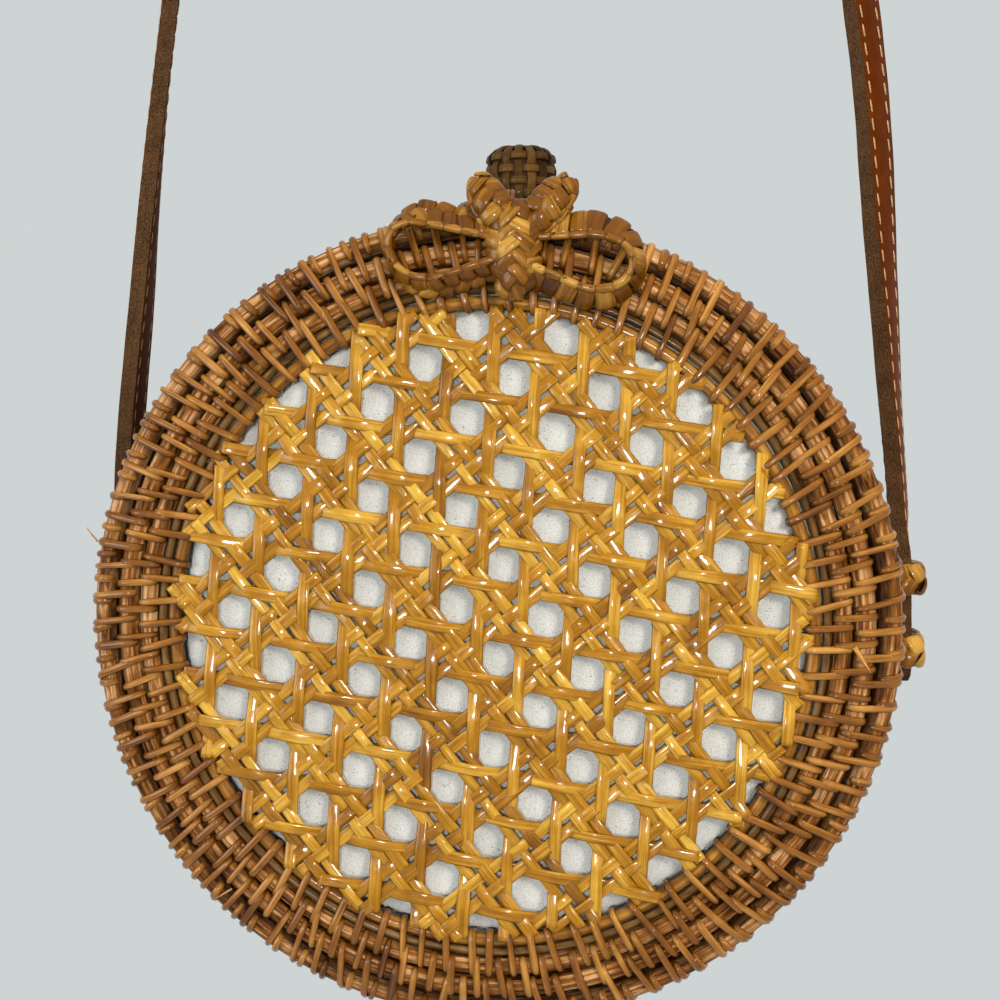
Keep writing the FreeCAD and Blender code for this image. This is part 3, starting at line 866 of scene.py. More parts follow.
def turned(skin, outline, count, tone, shade=0.0):
    """A closed outline of radius and depth turned round the bag's axis."""
    skin.sweep(polar(outline[:, 0], outline[:, 1], full_turn(count)[:, None]), tone, shade, closed=True)


def back_spiral():
    """The back face's coil, wound from the corner inwards, with a button in its middle and a dark filler
    rim, painted shade that closes the gap at the corner.
    """
    turns = np.linspace(0.25, 2 * np.pi * spiral_turns, 1800)
    rounds = turns / (2 * np.pi)
    grown = np.clip(rounds, 0, 1)
    radius = face_outer - spiral_half * grown - back_row_width * np.clip(rounds - 1, 0, None)
    taper = np.minimum(grown, ease((turns[-1] - turns) / 1.2 + 0.35))
    section, shade = row_section(spiral_half * 0.97, to_back, turns / spiral_turns)
    section = section * taper[:, None, None]
    rings = polar(radius[:, None] + section[..., 0], spiral_depth + section[..., 1], turns[:, None])
    tone = 0.5 + 0.12 * np.sin(turns / 3.1) * np.sin(turns * 1.7)
    disc = Skin()
    disc.sweep(rings, tone[None, :, None], shade)
    button = np.array([(0, -1), (2.6, -1), (3.2, 0), (2.5, 0.8), (0, 1)]) * [1, spiral_half]
    turned(disc, button + [0, spiral_depth], count=40, tone=0.45)
    filler = oval(3.6, 1.2) + [face_outer - 0.6, spiral_depth - 0.5 * spiral_half]
    turned(disc, filler, count=160, tone=0.35, shade=0.6)
    add_piece(disc, "back_face_spiral", core_look, "back_half", "rattan_core", "back_face_coil", weld=True)


def spiral_in(swing):
    """How far the spiral has wound inwards within one round."""
    return -back_row_width * (swing % (2 * np.pi)) / (2 * np.pi)


def back_coils():
    rows = half_rows(1)
    wall_rows("back", rows, corner_facing)
    back_spiral()
    lashing = Skin()
    rim = face_outer - spiral_half
    lash_rows(lashing, rows + [(rim, spiral_depth, spiral_half)], 1, (-1.0, 0.0))
    for index in range(int(spiral_turns) - 2):
        outer = (rim - back_row_width * index, spiral_depth, spiral_half)
        inner = (outer[0] - back_row_width, spiral_depth, spiral_half)
        line, outs = stitch_line(outer, inner, (1.0, 0.0), (-1.0, 0.0), -1, spots=5)
        count = max(5, round(2 * math.pi * line[:, 0].mean() / stitch_spacing))
        stitches(lashing, line, outs, staggered(index, count, unevenness=0.08), spiral_in)
    add_piece(lashing, "back_lashing", strip_look, "back_half", "rattan_core")


# Large bow loops, along each band from root to root: tilt of the band, its shift outward, its strips
loop_knots = (0.0, 0.3, 0.5, 0.72, 1.0)
loop_tilts = {"left": (62, 64, 6, 42, 46), "right": (46, 46, 26, 62, 62)}
loop_shifts = {"left": (0.0, -0.2, 2.4, 2.3, 0.6), "right": (0.0, 0.2, 2.0, -0.1, 0.0)}
loop_roots = {"left": 4.2, "right": 5.2}
loop_columns = {"left": ((-146, -8, 0.0, 0.2, 3.9), (-26, 62, 0.5, -0.2, 3.9)),
                "right": ((-146, 62, 0.0, 0.12, 4.5),)}
loop_inner_columns = ((96, 186, 0.0, 0.1, 3.9), (174, 238, 0.5, -0.1, 4.3))
loop_half_width = 3.0
loop_lift = 3.3
root_reach = 3.5

# Bow: its place, then each loop's reach, direction and radius, as the solids have them
bow_at = np.array([6.7, 0.0, face_outer - 2.5])
bow_back = -node_box("bow_knot")[1][1]
large_loops = {"left": (20.2, 177.7, 7.3), "right": (18.8, -9.8, 8.4)}
small_loops = {"upper_left": (15.4, 119.0, 2.9), "upper_right": (17.2, 50.0, 3.0)}
small_columns = ((-56, 24, 0.0, 0.25, 3.7), (10, 100, 0.5, -0.25, 3.7), (90, 184, 0.0, 0.2, 3.4),
                 (176, 290, 0.5, -0.2, 3.4))
knot_columns = ((-125, -20, 0.0, 0.5, 3.9), (-44, 12, 0.5, -0.6, 3.6), (-4, 50, 0.2, 0.6, 3.9),
                (28, 125, 0.6, -0.5, 3.7))
woven_outline = domed(-0.5, (1.0, 0.1), (0.84, 0.6), (0.45, 0.92))


def add_plait(skin, name, body, node):
    add_piece(skin, name + "_plait", grass_look, body, "plaited_grass", node)


def drop_path(reach, direction, radius, root_radius, depth, step):
    """Out along one leg, round the bight and back along the other, with outward directions."""
    taper = math.asin((radius - root_radius) / (reach - root_reach))
    lift = math.pi / 2 + taper
    turn = np.linspace(-lift, lift, 60)
    along = np.concatenate([[root_reach], reach + radius * np.cos(turn), [root_reach]])
    across = np.concatenate([[-root_radius], radius * np.sin(turn), [root_radius]])
    heading = math.radians(direction)
    line = bow_at - depth * Y + along[:, None] * fan(heading, X, Z) + across[:, None] * fan(heading, Z, -X)
    line = resample(line, step)
    return line, np.cross(Y, tangents(line))


def woven_tube(skin, path, side, front, half_side, half_front, columns, strip, tone=0.5, wild=1.0):
    """Short flat strips laid over and under round a tube.

    A column of strips is its two angles from the front, first place, skew and pitch along the tube.
    A strip is its width as a part of the pitch, its thickness and how far it lifts off the tube."""
    walk = walked(path)
    side = np.broadcast_to(side, path.shape)
    front = np.broadcast_to(front, path.shape)
    half_side = np.broadcast_to(half_side, walk.shape)
    half_front = np.broadcast_to(half_front, walk.shape)
    reach = np.linspace(-1, 1, 13)
    overlap, thickness, lift = strip
    for start, end, shift, skew, pitch in columns:
        step = walk[-1] / max(2, round(walk[-1] / pitch))
        count = round(walk[-1] / step - shift)
        centres = (np.arange(count) + 0.5 + shift) * step + RANDOM.normal(0, 0.05, count) * step
        lean = skew + RANDOM.normal(0, 0.07 * wild, count)
        turn = np.radians((start + end) / 2 + reach * (end - start) / 2)
        slant = np.sin(turn) - np.sin(turn).mean()
        slant = slant / np.abs(slant).max()
        spots = np.clip(centres[:, None] + lean[:, None] * slant * step, 0, walk[-1])
        aside, ahead = unit(sample(spots, walk, side)), unit(sample(spots, walk, front))
        wide = np.interp(spots, walk, half_side)[..., None]
        deep = np.interp(spots, walk, half_front)[..., None]
        angle = turn[None, :, None]
        normal = unit(aside * np.sin(angle) / wide + ahead * np.cos(angle) / deep)
        slope = np.interp(spots, walk, np.gradient(half_side, walk))[..., None]
        normal = unit(normal - slope * sample(spots, walk, tangents(path)))
        rise = (lift - 0.35 * reach ** 2 - 0.75 * np.abs(reach) ** 7)[None, :, None]
        rise = rise + wild * RANDOM.uniform(-0.12, 0.12, count)[:, None, None]
        line = sample(spots, walk, path) + aside * wide * np.sin(angle) + ahead * deep * np.cos(angle)
        line = line + normal * rise
        roll = RANDOM.normal(0.1, 0.1 * wild, count)[:, None, None]
        face = normal + roll * np.cross(normal, tangents(line))
        sizes = RANDOM.normal(1, 0.05, count)[:, None, None, None] * [overlap * step / 2, thickness]
        ends = 0.4 * ease((np.abs(reach) - 0.78) / 0.22)[None, :, None]
        sides = 0.4 * (np.abs(woven_outline[:, 0]) > 0.9)[None, None]
        tones = mixed_tones(tone, 0.14, count)
        skin.sweep(place(line, face, woven_outline * sizes), tones, np.maximum(ends, sides))


def wrapped_edge(skin, path, front, radius, pitch, tone=0.55):
    """Smooth round edge of short turns of wrapping."""
    walk = walked(path)
    front = np.broadcast_to(front, path.shape)
    count = max(2, round(walk[-1] / pitch))
    step = walk[-1] / count
    reach = np.linspace(-1, 1, 9)
    spots = np.clip((np.arange(count) + 0.5)[:, None] * step + reach * step * 0.54, 0, walk[-1])
    swell = (1 - 0.2 * np.abs(reach) ** 5)[None, :, None, None]
    swell = swell * RANDOM.normal(1, 0.05, count)[:, None, None, None]
    section = oval(2 * radius, 1.7 * radius, 10) * swell
    rings = place(sample(spots, walk, path), unit(sample(spots, walk, front)), section)
    tones = mixed_tones(tone, 0.1, count)
    skin.sweep(rings, tones, 0.5 * ease((np.abs(reach) - 0.8) / 0.2)[None, :, None])


def eased(spots, knots, values):
    """Eases from value to value between knots."""
    total = np.full_like(spots, values[0])
    for first, last, change in zip(knots, knots[1:], np.diff(values)):
        total += change * ease((spots - first) / (last - first))
    return total


def tube(skin, path, side, front, half_side, half_front):
    """Dark filling under the woven strips, painted shade for the gaps between them."""
    turn = full_turn(16)[None, :, None]
    side = np.broadcast_to(side, path.shape)[:, None]
    front = np.broadcast_to(front, path.shape)[:, None]
    wide = np.broadcast_to(half_side, len(path))[:, None, None]
    deep = np.broadcast_to(half_front, len(path))[:, None, None]
    rings = path[:, None] + side * wide * np.sin(turn) + front * deep * np.cos(turn)
    skin.sweep(rings, tone=0.15, shade=0.6)


def large_loop(name, far_end):
    """A wide woven band bent into a drop, with a wrapped edge towards the front."""
    path, outward = drop_path(*far_end, loop_roots[name], bow_back + loop_lift, step=0.7)
    spots = np.linspace(0, 1, len(path))
    tilt = np.radians(eased(spots, loop_knots, loop_tilts[name]))
    face = fan(tilt, outward, -Y)
    across = fan(tilt, -Y, -outward)
    path = path + outward * eased(spots, loop_knots, loop_shifts[name])[:, None]
    half = loop_half_width
    skin = Skin()
    tube(skin, path, across, face, half - 0.3, 0.55)
    woven_tube(skin, path, across, face, half, 0.6, loop_columns[name], (1.04, 0.62, 0.35))
    # The strips on the loop's inner face take a darker tone, painted shade inside the loop
    woven_tube(skin, path, across, face, half - 0.1, 0.6, loop_inner_columns, (1.04, 0.3, 0.3), tone=0.35)
    wrapped_edge(skin, path + across * (half - 0.3) + face * 0.3, face, radius=1.15, pitch=4.2)
    add_plait(skin, "bow_" + name, "front_half", "bow_loop_" + name)


def small_loop(name, reach, direction, radius):
    """A flattened loop that stands up behind the knot like a leaf, with one wrapped edge."""
    heading = math.radians(direction)
    aside = fan(heading, -Z, X) * (1 if direction > 90 else -1)
    spots = np.linspace(0, 1, 40)
    out = root_reach + (reach + radius + 0.8 - root_reach) * spots
    path = bow_at - (bow_back + 2.3) * Y + out[:, None] * fan(heading, X, Z)
    path = path + (1.6 * np.sin(np.pi * spots))[:, None] * -Y
    swell = np.sqrt(1.02 - ((spots - 0.48) / np.where(spots < 0.48, 0.62, 0.52)) ** 2)
    skin = Skin()
    tube(skin, path, aside, -Y, 4.0 * swell, 1.7 * swell)
    woven_tube(skin, path, aside, -Y, 4.2 * swell, 2.1 * swell, small_columns, (1.04, 0.62, 0.4), tone=0.44)
    brink = path + (aside * -3.95 - Y * 0.75) * swell[:, None]
    wrapped_edge(skin, brink, -Y, radius=0.95, pitch=3.8, tone=0.5)
    add_plait(skin, "bow_" + name, "front_half", "bow_loop_" + name)


def bow():
    for name, far_end in large_loops.items():
        large_loop(name, far_end)
    for name, far_end in small_loops.items():
        small_loop(name, *far_end)
    low, high = node_box("bow_knot")
    spots = np.linspace(0, 1, 60)
    heights = high[2] - 0.8 - (high[2] - low[2] - 1.6) * spots
    bulge = np.sin(np.pi * np.clip(spots * 0.78 + 0.17, 0, 1)) ** 0.55
    path = stacked(bow_at[0], -(bow_back + 2.0 + 1.6 * bulge), heights)
    widths = 5.6 * np.sin(np.pi * np.clip(spots * 0.72 + 0.16, 0, 1)) ** 0.8
    knot = Skin()
    tube(knot, path, X, -Y, widths * 0.9, 2.8 * bulge)
    woven_tube(knot, path, X, -Y, widths, 3.2 * bulge, knot_columns, (1.1, 0.75, 0.5), tone=0.46, wild=2.2)
    add_plait(knot, "bow_knot", "front_half", "bow_knot")


# Knob: its axis and barrel shape, splints and bands of the basketwork, points that close its two ends
knob_low, knob_high = node_box("knob_weave")
knob_axis = (knob_low + knob_high) / 2 * [1, 1, 0]
knob_height = knob_high[2] - knob_low[2]
knob_belly = (knob_high[0] - knob_low[0]) / 2 - 0.75
knob_shoulder = 3.6
knob_splint_count = 16
knob_band_count = 5
band_offset = 0.4
cap_points = 8


def knob_profile(level):
    """Radius at a level from 0, the foot, to 1, the top, with rounded shoulders."""
    rise = level * knob_height
    over = np.maximum(rise - (knob_height - knob_shoulder), knob_shoulder - rise)
    over = np.clip(over, 0, knob_shoulder) / knob_shoulder
    rounding = knob_shoulder * (1 - np.sqrt(np.clip(1 - over ** 2, 0, 1)))
    return knob_belly - 0.8 * (2 * level - 1) ** 2 - rounding


def knob_bands(skin):
    """Bands round the knob, in and out between the splints."""
    turns = full_turn(180)
    outward = fan(turns, X, Y)
    for band in range(knob_band_count):
        level = (band + band_offset) / (knob_band_count + band_offset)
        phase = np.cos(knob_splint_count / 2 * turns + np.pi * band)
        radius = knob_profile(level) - 0.05 + 0.42 * phase
        path = knob_axis + radius[:, None] * outward + (knob_low[2] + level * knob_height) * Z
        rings = place(path, outward + 0.8 * (level - 0.5) * Z, oval(2.2, 0.8, 10, flat=2.6), closed=True)
        shade = 0.8 * ease(0.5 - phase)[:, None]
        skin.sweep(rings, 0.72 + 0.08 * RANDOM.normal(), shade, closed=True)


def knob_splints(skin):
    """Upright splints over and under the bands, bent in over the top and the foot."""
    levels = np.linspace(0.0, 1.0, 60)
    side = np.stack([knob_profile(levels), knob_low[2] + 0.4 + levels * (knob_height - 0.8)], axis=-1)
    cap = np.linspace(0.9, 0.08, cap_points)[:, None]
    top = np.concatenate([side[-1, 0] * cap, side[-1, 1] + 0.25 * (1 - cap)], axis=1)
    foot = np.concatenate([side[0, 0] * cap[::-1], np.full((cap_points, 1), side[0, 1])], axis=1)
    line = np.concatenate([foot, side, top])
    bend = unit(np.gradient(line, axis=0))
    sway = np.cos(np.pi * (levels * (knob_band_count + band_offset) - band_offset))
    for splint in range(knob_splint_count):
        out = fan(2 * np.pi * splint / knob_splint_count, X, Y)
        normal = bend[:, 1:] * out - bend[:, :1] * Z
        wave = np.zeros(len(line))
        wave[cap_points:-cap_points] = -(-1) ** splint * sway * (1 - 0.7 * ease((levels - 0.84) / 0.16))
        wave[-cap_points:] = wave[-cap_points - 1] * np.linspace(0.9, 0.2, cap_points)
        path = knob_axis + line[:, :1] * out + line[:, 1:] * Z + normal * (0.36 * wave)[:, None]
        width = np.clip(2.35 * np.minimum(1, line[:, 0] / 5.6), 0.3, None) * RANDOM.normal(1, 0.05)
        section = widened(oval(1, 0.66, flat=2.4), width)
        tone = 0.66 + 0.12 * RANDOM.normal()
        skin.sweep(place(path, normal, section), tone, 0.6 * ease(-wave)[:, None])


def knob():
    skin = Skin()
    knob_bands(skin)
    knob_splints(skin)
    add_piece(skin, "knob_basketwork", knob_look, "back_half", "knob_weave", "knob_weave")
    levels = np.linspace(0, 1, 15)
    for node in ("knob_core", "knob_stem"):
        low, high = node_box(node)
        radius = (high[0] - low[0]) / 2 - 0.2
        swell = radius * (1 - 0.5 * np.abs(2 * levels - 1) ** 7)
        rise = low[2] + levels * (high[2] - low[2])
        rings = swell[:, None, None] * fan(full_turn(36), X, Y) + rise[:, None, None] * Z
        wood = Skin()
        wood.sweep((low + high) / 2 * [1, 1, 0] + rings, tone=0.4, shade=0.5)
        add_piece(wood, node + "_turned", wood_look, "back_half", "knob_wood", node)


# Plait of the closure loop: how far its strips swing, rise and lean, their size and the repeat
plait_swing = 0.72
plait_rise = 0.5
plait_lean = math.radians(16)
plait_strip = oval(1.5, 0.95, flat=2.6)
plait_repeat = 7.5


def plait(skin, path, normal):
    """A closed flat plait of three strips along a path, its face towards normal."""
    walk = walked(path)
    total = walk[-1] + np.linalg.norm(path[0] - path[-1])
    period = total / max(1, round(total / plait_repeat))
    forward = tangents(path, closed=True)
    up = unit(normal - np.sum(normal * forward, axis=1, keepdims=True) * forward)
    side = np.cross(up, forward)
    for strand in range(3):
        phase = 2 * np.pi * (walk / period + strand / 3)
        swing = np.sin(phase)
        over = np.sin(2 * phase)
        line = path + side * (plait_swing * swing)[:, None] + up * (plait_rise * over)[:, None]
        rings = place(line, fan(plait_lean * swing, up, side), plait_strip, closed=True)
        tone = 0.5 + RANDOM.normal(0, 0.1) + 0.2 * np.sin(phase * 0.5 + strand)[:, None]
        skin.sweep(rings, tone[None], 0.5 * ease(-over)[:, None], closed=True)


def closure():
    """Plaited loop round the knob, and the lashed eye that holds its front bight."""
    low, high = node_box("closure_loop")
    strand = (high[2] - low[2]) / 2
    half = (high[0] - low[0]) / 2 - strand
    middle_x = (low[0] + high[0]) / 2
    height = (low[2] + high[2]) / 2
    front = low[1] + strand + half
    back = high[1] - strand - half
    turn = np.linspace(0, np.pi, 40)
    right = stacked(middle_x + half * np.cos(turn), back + half * np.sin(turn), height)
    left = stacked(middle_x - half * np.cos(turn), front - half * np.sin(turn), height)
    skin = Skin()
    plait(skin, resample(np.concatenate([right, left, right[:1]]), step=0.7)[:-1], Z)
    add_plait(skin, "closure", "closure", "closure_loop")
    closure_eye(height)


def closure_eye(height):
    low, high = node_box("closure_keeper")
    wraps = 4
    step = (high[0] - low[0]) / wraps
    centre = np.array([0, low[1] + high[1], 0]) / 2 + height * Z
    radius = (high[1] - low[1]) / 2 - 0.7
    normal = fan(np.radians(np.linspace(-62, 242, 40)), Y, Z)
    eye = Skin()
    for wrap in range(wraps):
        path = centre + (low[0] + (wrap + 0.5) * step) * X + radius * normal
        eye.sweep(place(path, normal, half_round(step * 0.96, 0.8) - [0, 0.3]), RANDOM.normal(0.5, 0.1))
    add_piece(eye, "closure_eye", strip_look, "front_half", "plaited_grass", "closure_keeper")


# Strap: sweep of the legs, lean, top bend, a ply's section, stitching
strap_low, strap_high = node_box("strap_face")
end_low, end_high = node_box("strap_end_right")
strap_y = (strap_low[1] + strap_high[1]) / 2
strap_half = (strap_high[1] - strap_low[1]) / 2
ply = (end_high[0] - end_low[0]) / 2
sweep_radius = 1316.0
sweep_low = -26.0
sweep_x = end_high[0] - ply + 0.3
lean = math.radians(13.5)
bend_radius = 18.0
bend_height = strap_high[2] - bend_radius - ply
strap_foot = end_low[2]
ply_section = np.array([(-1, 0.03), (-0.98, 0.0), (0.98, 0.0), (1, 0.03), (1.0, 0.92), (0.95, 1.0),
                        (0, 1.02), (-0.95, 1.0), (-1.0, 0.92)])
cut_edges = (0, 2, 3, 8)
stitch_pitch = 4.85
stitch_reach = 1.9
stitch_row = strap_half - 1.9


def strap_line(step):
    """The strap's middle line from the left tab over the top to the right tab, with outward directions."""
    rise = np.linspace(math.asin((strap_foot - sweep_low) / sweep_radius), lean, 120)
    leg = np.array([sweep_x - sweep_radius, 0, sweep_low]) + sweep_radius * fan(rise, X, Z)
    top = bend_height * Z + bend_radius * fan(np.linspace(lean, math.pi / 2, 40), X, Z)
    right = np.concatenate([leg, top])
    line = np.concatenate([right[:-1] * [-1, 1, 1], right[::-1]]) + strap_y * Y
    line = resample(line, step)
    height = line[:, 2]
    sag_right = ease((height - 15) / 50) * (1 - ease((height - 85) / 60)) * 1.4
    sag_left = -1.6 * ease((height - 30) / 60) * (1 - ease((height - 250) / 150))
    line[:, 0] -= np.where(line[:, 0] > 0, sag_right, sag_left)
    return line, np.cross(tangents(line), Y)


def strap_twist(line):
    """Both legs turn their outer faces towards the front above the bag."""
    height = line[:, 2]
    left = math.radians(19) * ease((height - 50) / 110)
    right = math.radians(15) * ease((height - 12) / 14) + math.radians(26) * ease((height - 25) / 110)
    calm = 1 - ease((height - 300) / 180)
    return np.where(line[:, 0] < 0, left, right) * calm


def strap():
    line, outward = strap_line(step=2.0)
    walk = walked(line)
    twist = strap_twist(line)
    face = fan(twist, outward, -Y)
    across = fan(twist, Y, outward)
    end = np.minimum(walk, walk[-1] - walk)
    round_end = np.sqrt(np.clip(1 - (1 - np.clip(end / strap_half, 0, 1)) ** 2, 0.01, 1))
    wave = 0.1 * np.sin(walk / 7.3) + 0.08 * np.sin(walk / 2.9 + 1)
    half = strap_half * round_end + wave * round_end
    pieces = []
    for name, look, flip in (("strap_outer_ply", tan_look, 1), ("strap_inner_ply", brown_look, -1)):
        rings = (line[:, None] + across[:, None] * (ply_section[:, 0] * half[:, None])[..., None]
                 + flip * face[:, None] * (ply_section[:, 1] * (ply - 0.05))[None, :, None])
        edge = (np.abs(ply_section[:, 0]) > 0.95).astype(float)
        skin = Skin()
        skin.sweep(rings, 0.5, edge[None, None] * 0.5)
        pieces.append(skin.build(name, look, raw_look))
        mark_edges(pieces[-1], len(line))
    pieces.append(strap_thread(line, face, across, walk))
    nodes = (("strap_face", "strap_end_left", "strap_end_right"), ("strap_backing",), ())
    for piece, slot, node in zip(pieces, ("strap_tan", "strap_brown", "strap_tan"), nodes):
        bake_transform(piece)
        if node:
            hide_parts(*node)


def mark_edges(piece, rings):
    """Gives the cut edges and the ends of a ply the raw finish."""
    columns = np.tile(np.arange(len(ply_section)), rings - 1)
    index = np.ones(len(piece.data.polygons), np.int32)
    index[:len(columns)] = np.isin(columns, cut_edges)
    piece.data.polygons.foreach_set("material_index", index)
    piece.data.polygons.foreach_set("use_smooth", index == 0)


def strap_thread(line, face, across, walk):
    """Two rows of stitches, seen on both faces."""
    skin = Skin()
    count = int((walk[-1] - 2 * strap_half) / stitch_pitch)
    middles = strap_half + (np.arange(count) + 0.5) * stitch_pitch
    profile = np.array([-1.0, -0.72, 0.0, 0.72, 1.0])
    curl = np.array([0.12, 0.06, -0.1, 0.06, 0.12])
    dip = np.array([-0.4, -0.08, 0.04, -0.08, -0.4])
    slope = (0.22 * profile + curl)[None, :, None]
    spots = middles[:, None] + profile * stitch_reach
    path = sample(spots, walk, line)
    up, side = unit(sample(spots, walk, face)), unit(sample(spots, walk, across))
    for flip in (1, -1):
        for row in (-1, 1):
            offset = row * stitch_row - 0.3 + RANDOM.normal(0, 0.08, count)[:, None, None]
            centre = path + side * (offset + slope) + flip * up * (ply + dip[None, :, None])
            rings = place(centre, flip * up, oval(0.68, 0.4, 6))
            skin.sweep(rings, RANDOM.uniform(0.3, 0.7, count), slot=(1 - flip) // 2)
    return skin.build("strap_stitching", thread_look, brown_thread_look)


# Side loops: half the band's thickness, rounding of the corners, where the legs leave the wall, the strips
side_band = 1.45
side_corner = 2.0
side_legs = (97.0, 100.5)
side_columns = ((-95, 8, 0.0, 0.3, 4.0), (-8, 95, 0.5, -0.3, 4.0), (92, 184, 0.0, 0.2, 4.0),
                (176, 268, 0.5, -0.2, 4.0))


def side_loop(name, sign):
    """A woven band round a strap end, with a flat part behind the leather."""
    node = "strap_loop_" + name
    low, high = node_box(node)
    height = (low[2] + high[2]) / 2
    reach = max(abs(low[0]), abs(high[0])) - side_band
    half = (high[1] - low[1]) / 2 - side_band
    turn = np.linspace(-math.pi / 2, 0, 12)
    bend = np.stack([reach - side_corner + side_corner * np.cos(turn),
                     -half + side_corner + side_corner * np.sin(turn)], axis=-1)
    outline = np.concatenate([[(side_legs[0], -half - 0.6), (side_legs[1], -half)], bend])
    outline = np.concatenate([outline, outline[::-1] * [1, -1]])
    path = resample(stacked(sign * outline[:, 0], strap_y + outline[:, 1], height), step=0.6)
    outward = np.cross(tangents(path), Z) * sign
    skin = Skin()
    tube(skin, path, Z, outward, 3.1, 0.9)
    woven_tube(skin, path, Z, outward, 3.5, 1.2, side_columns, (1.0, 0.55, 0.5), tone=0.55)
    behind = stacked(sign * (bag_radius + end_low[0]) / 2, strap_y + np.linspace(-half, half, 15), height)
    tube(skin, behind, Z, sign * X, 3.0, 0.7)
    woven_tube(skin, behind, Z, sign * X, 3.3, 0.8, side_columns[:2], (1.04, 0.3, 0.5), tone=0.4)
    add_plait(skin, "side_" + name, "back_half", node)


def side_loops():
    for side, sign in (("left", -1), ("right", 1)):
        for level in ("upper", "lower"):
            side_loop(side + "_" + level, sign)


# Hinge: its pin, and how a loop's strips lie on the wall and round the pin
pin_low, pin_high = node_box("hinge_pin")
pin_at = (pin_low + pin_high) / 2
pin_radius = (pin_high[2] - pin_low[2]) / 2
wrap_pitch = 2.0
wrap_lift = 0.35
wrap_start = 2.2
wrap_tuck = 0.9
eye_radius = pin_radius + 0.45
eye_turn = np.radians(np.linspace(60, 330, 36))


def hinge_loop(node, body, sign):
    """Strips side by side that run from the wall round the pin."""
    low, high = node_box(node)
    tail = low[1] if sign < 0 else high[1]
    wraps = round((high[0] - low[0]) / wrap_pitch)
    step = (high[0] - low[0]) / wraps
    skin = Skin()
    for wrap in range(wraps):
        across = low[0] + (wrap + 0.5) * step
        wall = -math.sqrt(bag_radius ** 2 - across ** 2) - wrap_lift
        flat = stacked(across, np.linspace(tail, sign * wrap_start, 10), wall)
        flat[0, 2] += wrap_tuck
        around = eye_radius * fan(eye_turn, Z, sign * Y)
        loop = around + [across, 0, pin_at[2]]
        path = resample(np.concatenate([flat, loop]), step=0.5)
        normal = np.cross(tangents(path), X) * sign
        section = half_round(step * 0.95, 0.55) - [0, 0.2]
        skin.sweep(place(path, normal, section), RANDOM.normal(0.5, 0.12))
    add_piece(skin, node + "_wraps", strip_look, body, "plaited_grass", node)


def hinge():
    spots = np.linspace(pin_low[0], pin_high[0], 30)
    ends = np.sqrt(np.clip(np.minimum(spots - pin_low[0], pin_high[0] - spots) / 0.8 + 0.3, 0, 1))
    section = oval(2 * pin_radius, 2 * pin_radius, 14) * ends[:, None, None]
    pin = Skin()
    pin.sweep(place(stacked(spots, pin_at[1], pin_at[2]), Z, section), tone=0.45)
    add_piece(pin, "hinge_pin_rattan", rod_look, "back_half", "rattan_core", "hinge_pin")
    hinge_loop("hinge_loop_front", "front_half", -1)
    hinge_loop("hinge_loop_back_left", "back_half", 1)
    hinge_loop("hinge_loop_back_right", "back_half", 1)


# Camera: distance and turn that put the rim's circle where the photograph has it
camera_at = np.array([35.9, -397.0, 55.0])
camera_yaw = math.radians(5.18)
camera_pitch = math.radians(-3.79)
focal_pixels = 1513.0
image_pixels = 1000.0
sensor_width = 36.0

# Lamps aimed at the bag: place from its middle in metres, size, power, colour; two show in glossy surfaces
lamps = (
    ("key", (0.75, -1.0, 0.5), 0.5, 13.0, (1.0, 0.93, 0.84)),
    ("fill", (-1.1, -0.9, 0.1), 0.9, 9.0, (0.9, 0.96, 1.0)),
    ("top", (0.1, -0.45, 0.95), 0.6, 5.0, (1.0, 0.98, 0.95)),
    ("glint", (0.0, -1.25, 0.06), 0.14, 6.0, (1.0, 0.97, 0.92)),
    ("side", (-1.4, 0.2, 0.3), 0.7, 6.0, (0.95, 0.97, 1.0)),
    ("rear_left", (-0.7, 1.3, 0.3), 0.9, 11.0, (0.95, 0.97, 1.0)),
    ("rear_right", (0.8, 1.3, 0.1), 0.9, 11.0, (1.0, 0.96, 0.9)),
)
mirrored_lamps = ("glint", "fill")
backdrop = linear(206, 211, 211)
floor_half = 2.0
floor_drop = 0.95
floor_glow = 0.8


def set_camera():
    scene = bpy.context.scene
    scene.view_settings.view_transform = "Standard"
    data = bpy.data.cameras.new("camera")
    data.sensor_width = sensor_width
    data.lens = focal_pixels / image_pixels * sensor_width
    data.clip_start = 0.01
    camera = bpy.data.objects.new("camera", data)
    camera.location = row_frame(camera_at)
    forward = Vector((-math.sin(camera_yaw) * math.cos(camera_pitch),
                      math.cos(camera_yaw) * math.cos(camera_pitch), math.sin(camera_pitch)))
    camera.rotation_euler = forward.to_track_quat("-Z", "Y").to_euler()
    scene.collection.objects.link(camera)
    scene.camera = camera


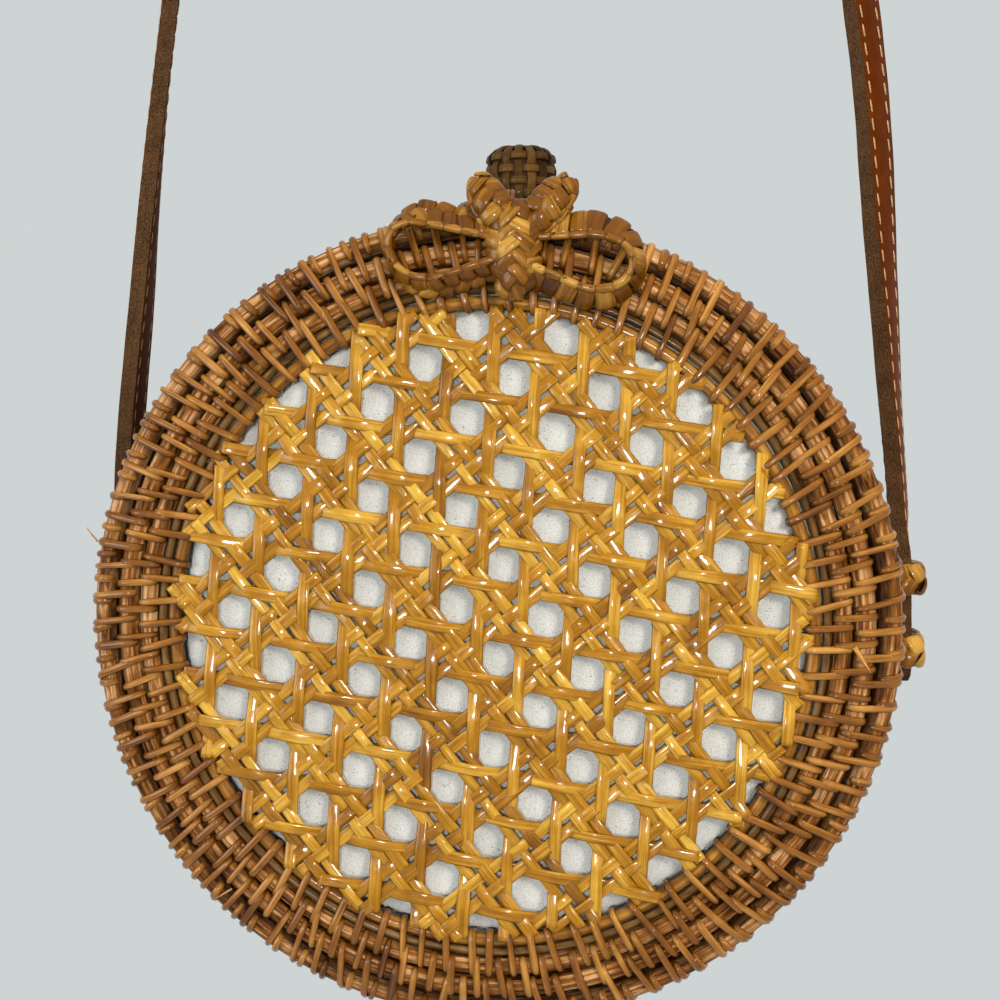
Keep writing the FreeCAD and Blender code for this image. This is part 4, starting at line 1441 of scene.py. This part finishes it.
def set_lamps():
    for name, place_at, size, power, colour in lamps:
        data = bpy.data.lights.new(name, "AREA")
        data.shape = "DISK"
        data.size = size
        data.energy = power
        data.color = colour
        lamp = bpy.data.objects.new(name, data)
        lamp.visible_glossy = name in mirrored_lamps
        lamp.location = Vector(BAG) + Vector(place_at)
        lamp.rotation_euler = (-Vector(place_at)).to_track_quat("-Z", "Y").to_euler()
        bpy.context.scene.collection.objects.link(lamp)


def seen_only(made, strength):
    """A value that is strength for what is looked at, directly or mirrored, and nothing for light."""
    rays = made.node("LightPath").outputs
    value = rays["Is Camera Ray"]
    for ray in ("Is Glossy Ray", "Is Transmission Ray"):
        value = made.math("MAXIMUM", value, rays[ray])
    return made.math("MULTIPLY", value, strength)


def set_world():
    """A plain backdrop that is seen, and a dimmer light from all round."""
    world = bpy.data.worlds.new("studio")
    world.use_nodes = True
    bpy.context.scene.world = world
    made = Nodes(world.node_tree)
    around = made.tree.nodes["Background"]
    around.inputs["Color"].default_value = (0.85, 0.93, 1.0, 1.0)
    around.inputs["Strength"].default_value = 0.22
    seen = made.node("Background", {"Color": backdrop})
    inputs = {0: seen_only(made, 1.0), 1: around.outputs[0], 2: seen.outputs[0]}
    both = made.node("MixShader", inputs)
    made.set(made.tree.nodes["World Output"].inputs["Surface"], both.outputs[0])


def set_floor():
    """A floor well below the bag, that looks like the backdrop."""
    level = cad_box[0].z - floor_drop
    mesh = bpy.data.meshes.new("floor")
    corners = [(x * floor_half, y * floor_half, level) for x, y in ((-1, -1), (1, -1), (1, 1), (-1, 1))]
    mesh.from_pydata(corners, [], [(0, 1, 2, 3)])
    look = Finish("floor")
    grain = look.noise(0.2)
    colour = look.ramp(grain, [(0.3, linear(126, 128, 128)), (0.7, linear(130, 132, 132))])
    mesh.materials.append(look.finish(colour, 0.9, look.bump(grain, 0.02 * MM)))
    look.set(look.shader.inputs["Emission Color"], backdrop)
    look.set(look.shader.inputs["Emission Strength"], seen_only(look, floor_glow))
    floor = bpy.data.objects.new("floor", mesh)
    bpy.context.scene.collection.objects.link(floor)


def stage():
    set_camera()
    set_lamps()
    set_world()
    set_floor()


front_coils()
panel_rods()
cane_panel()
linings()
back_coils()
bow()
knob()
closure()
strap()
side_loops()
hinge()
stage()
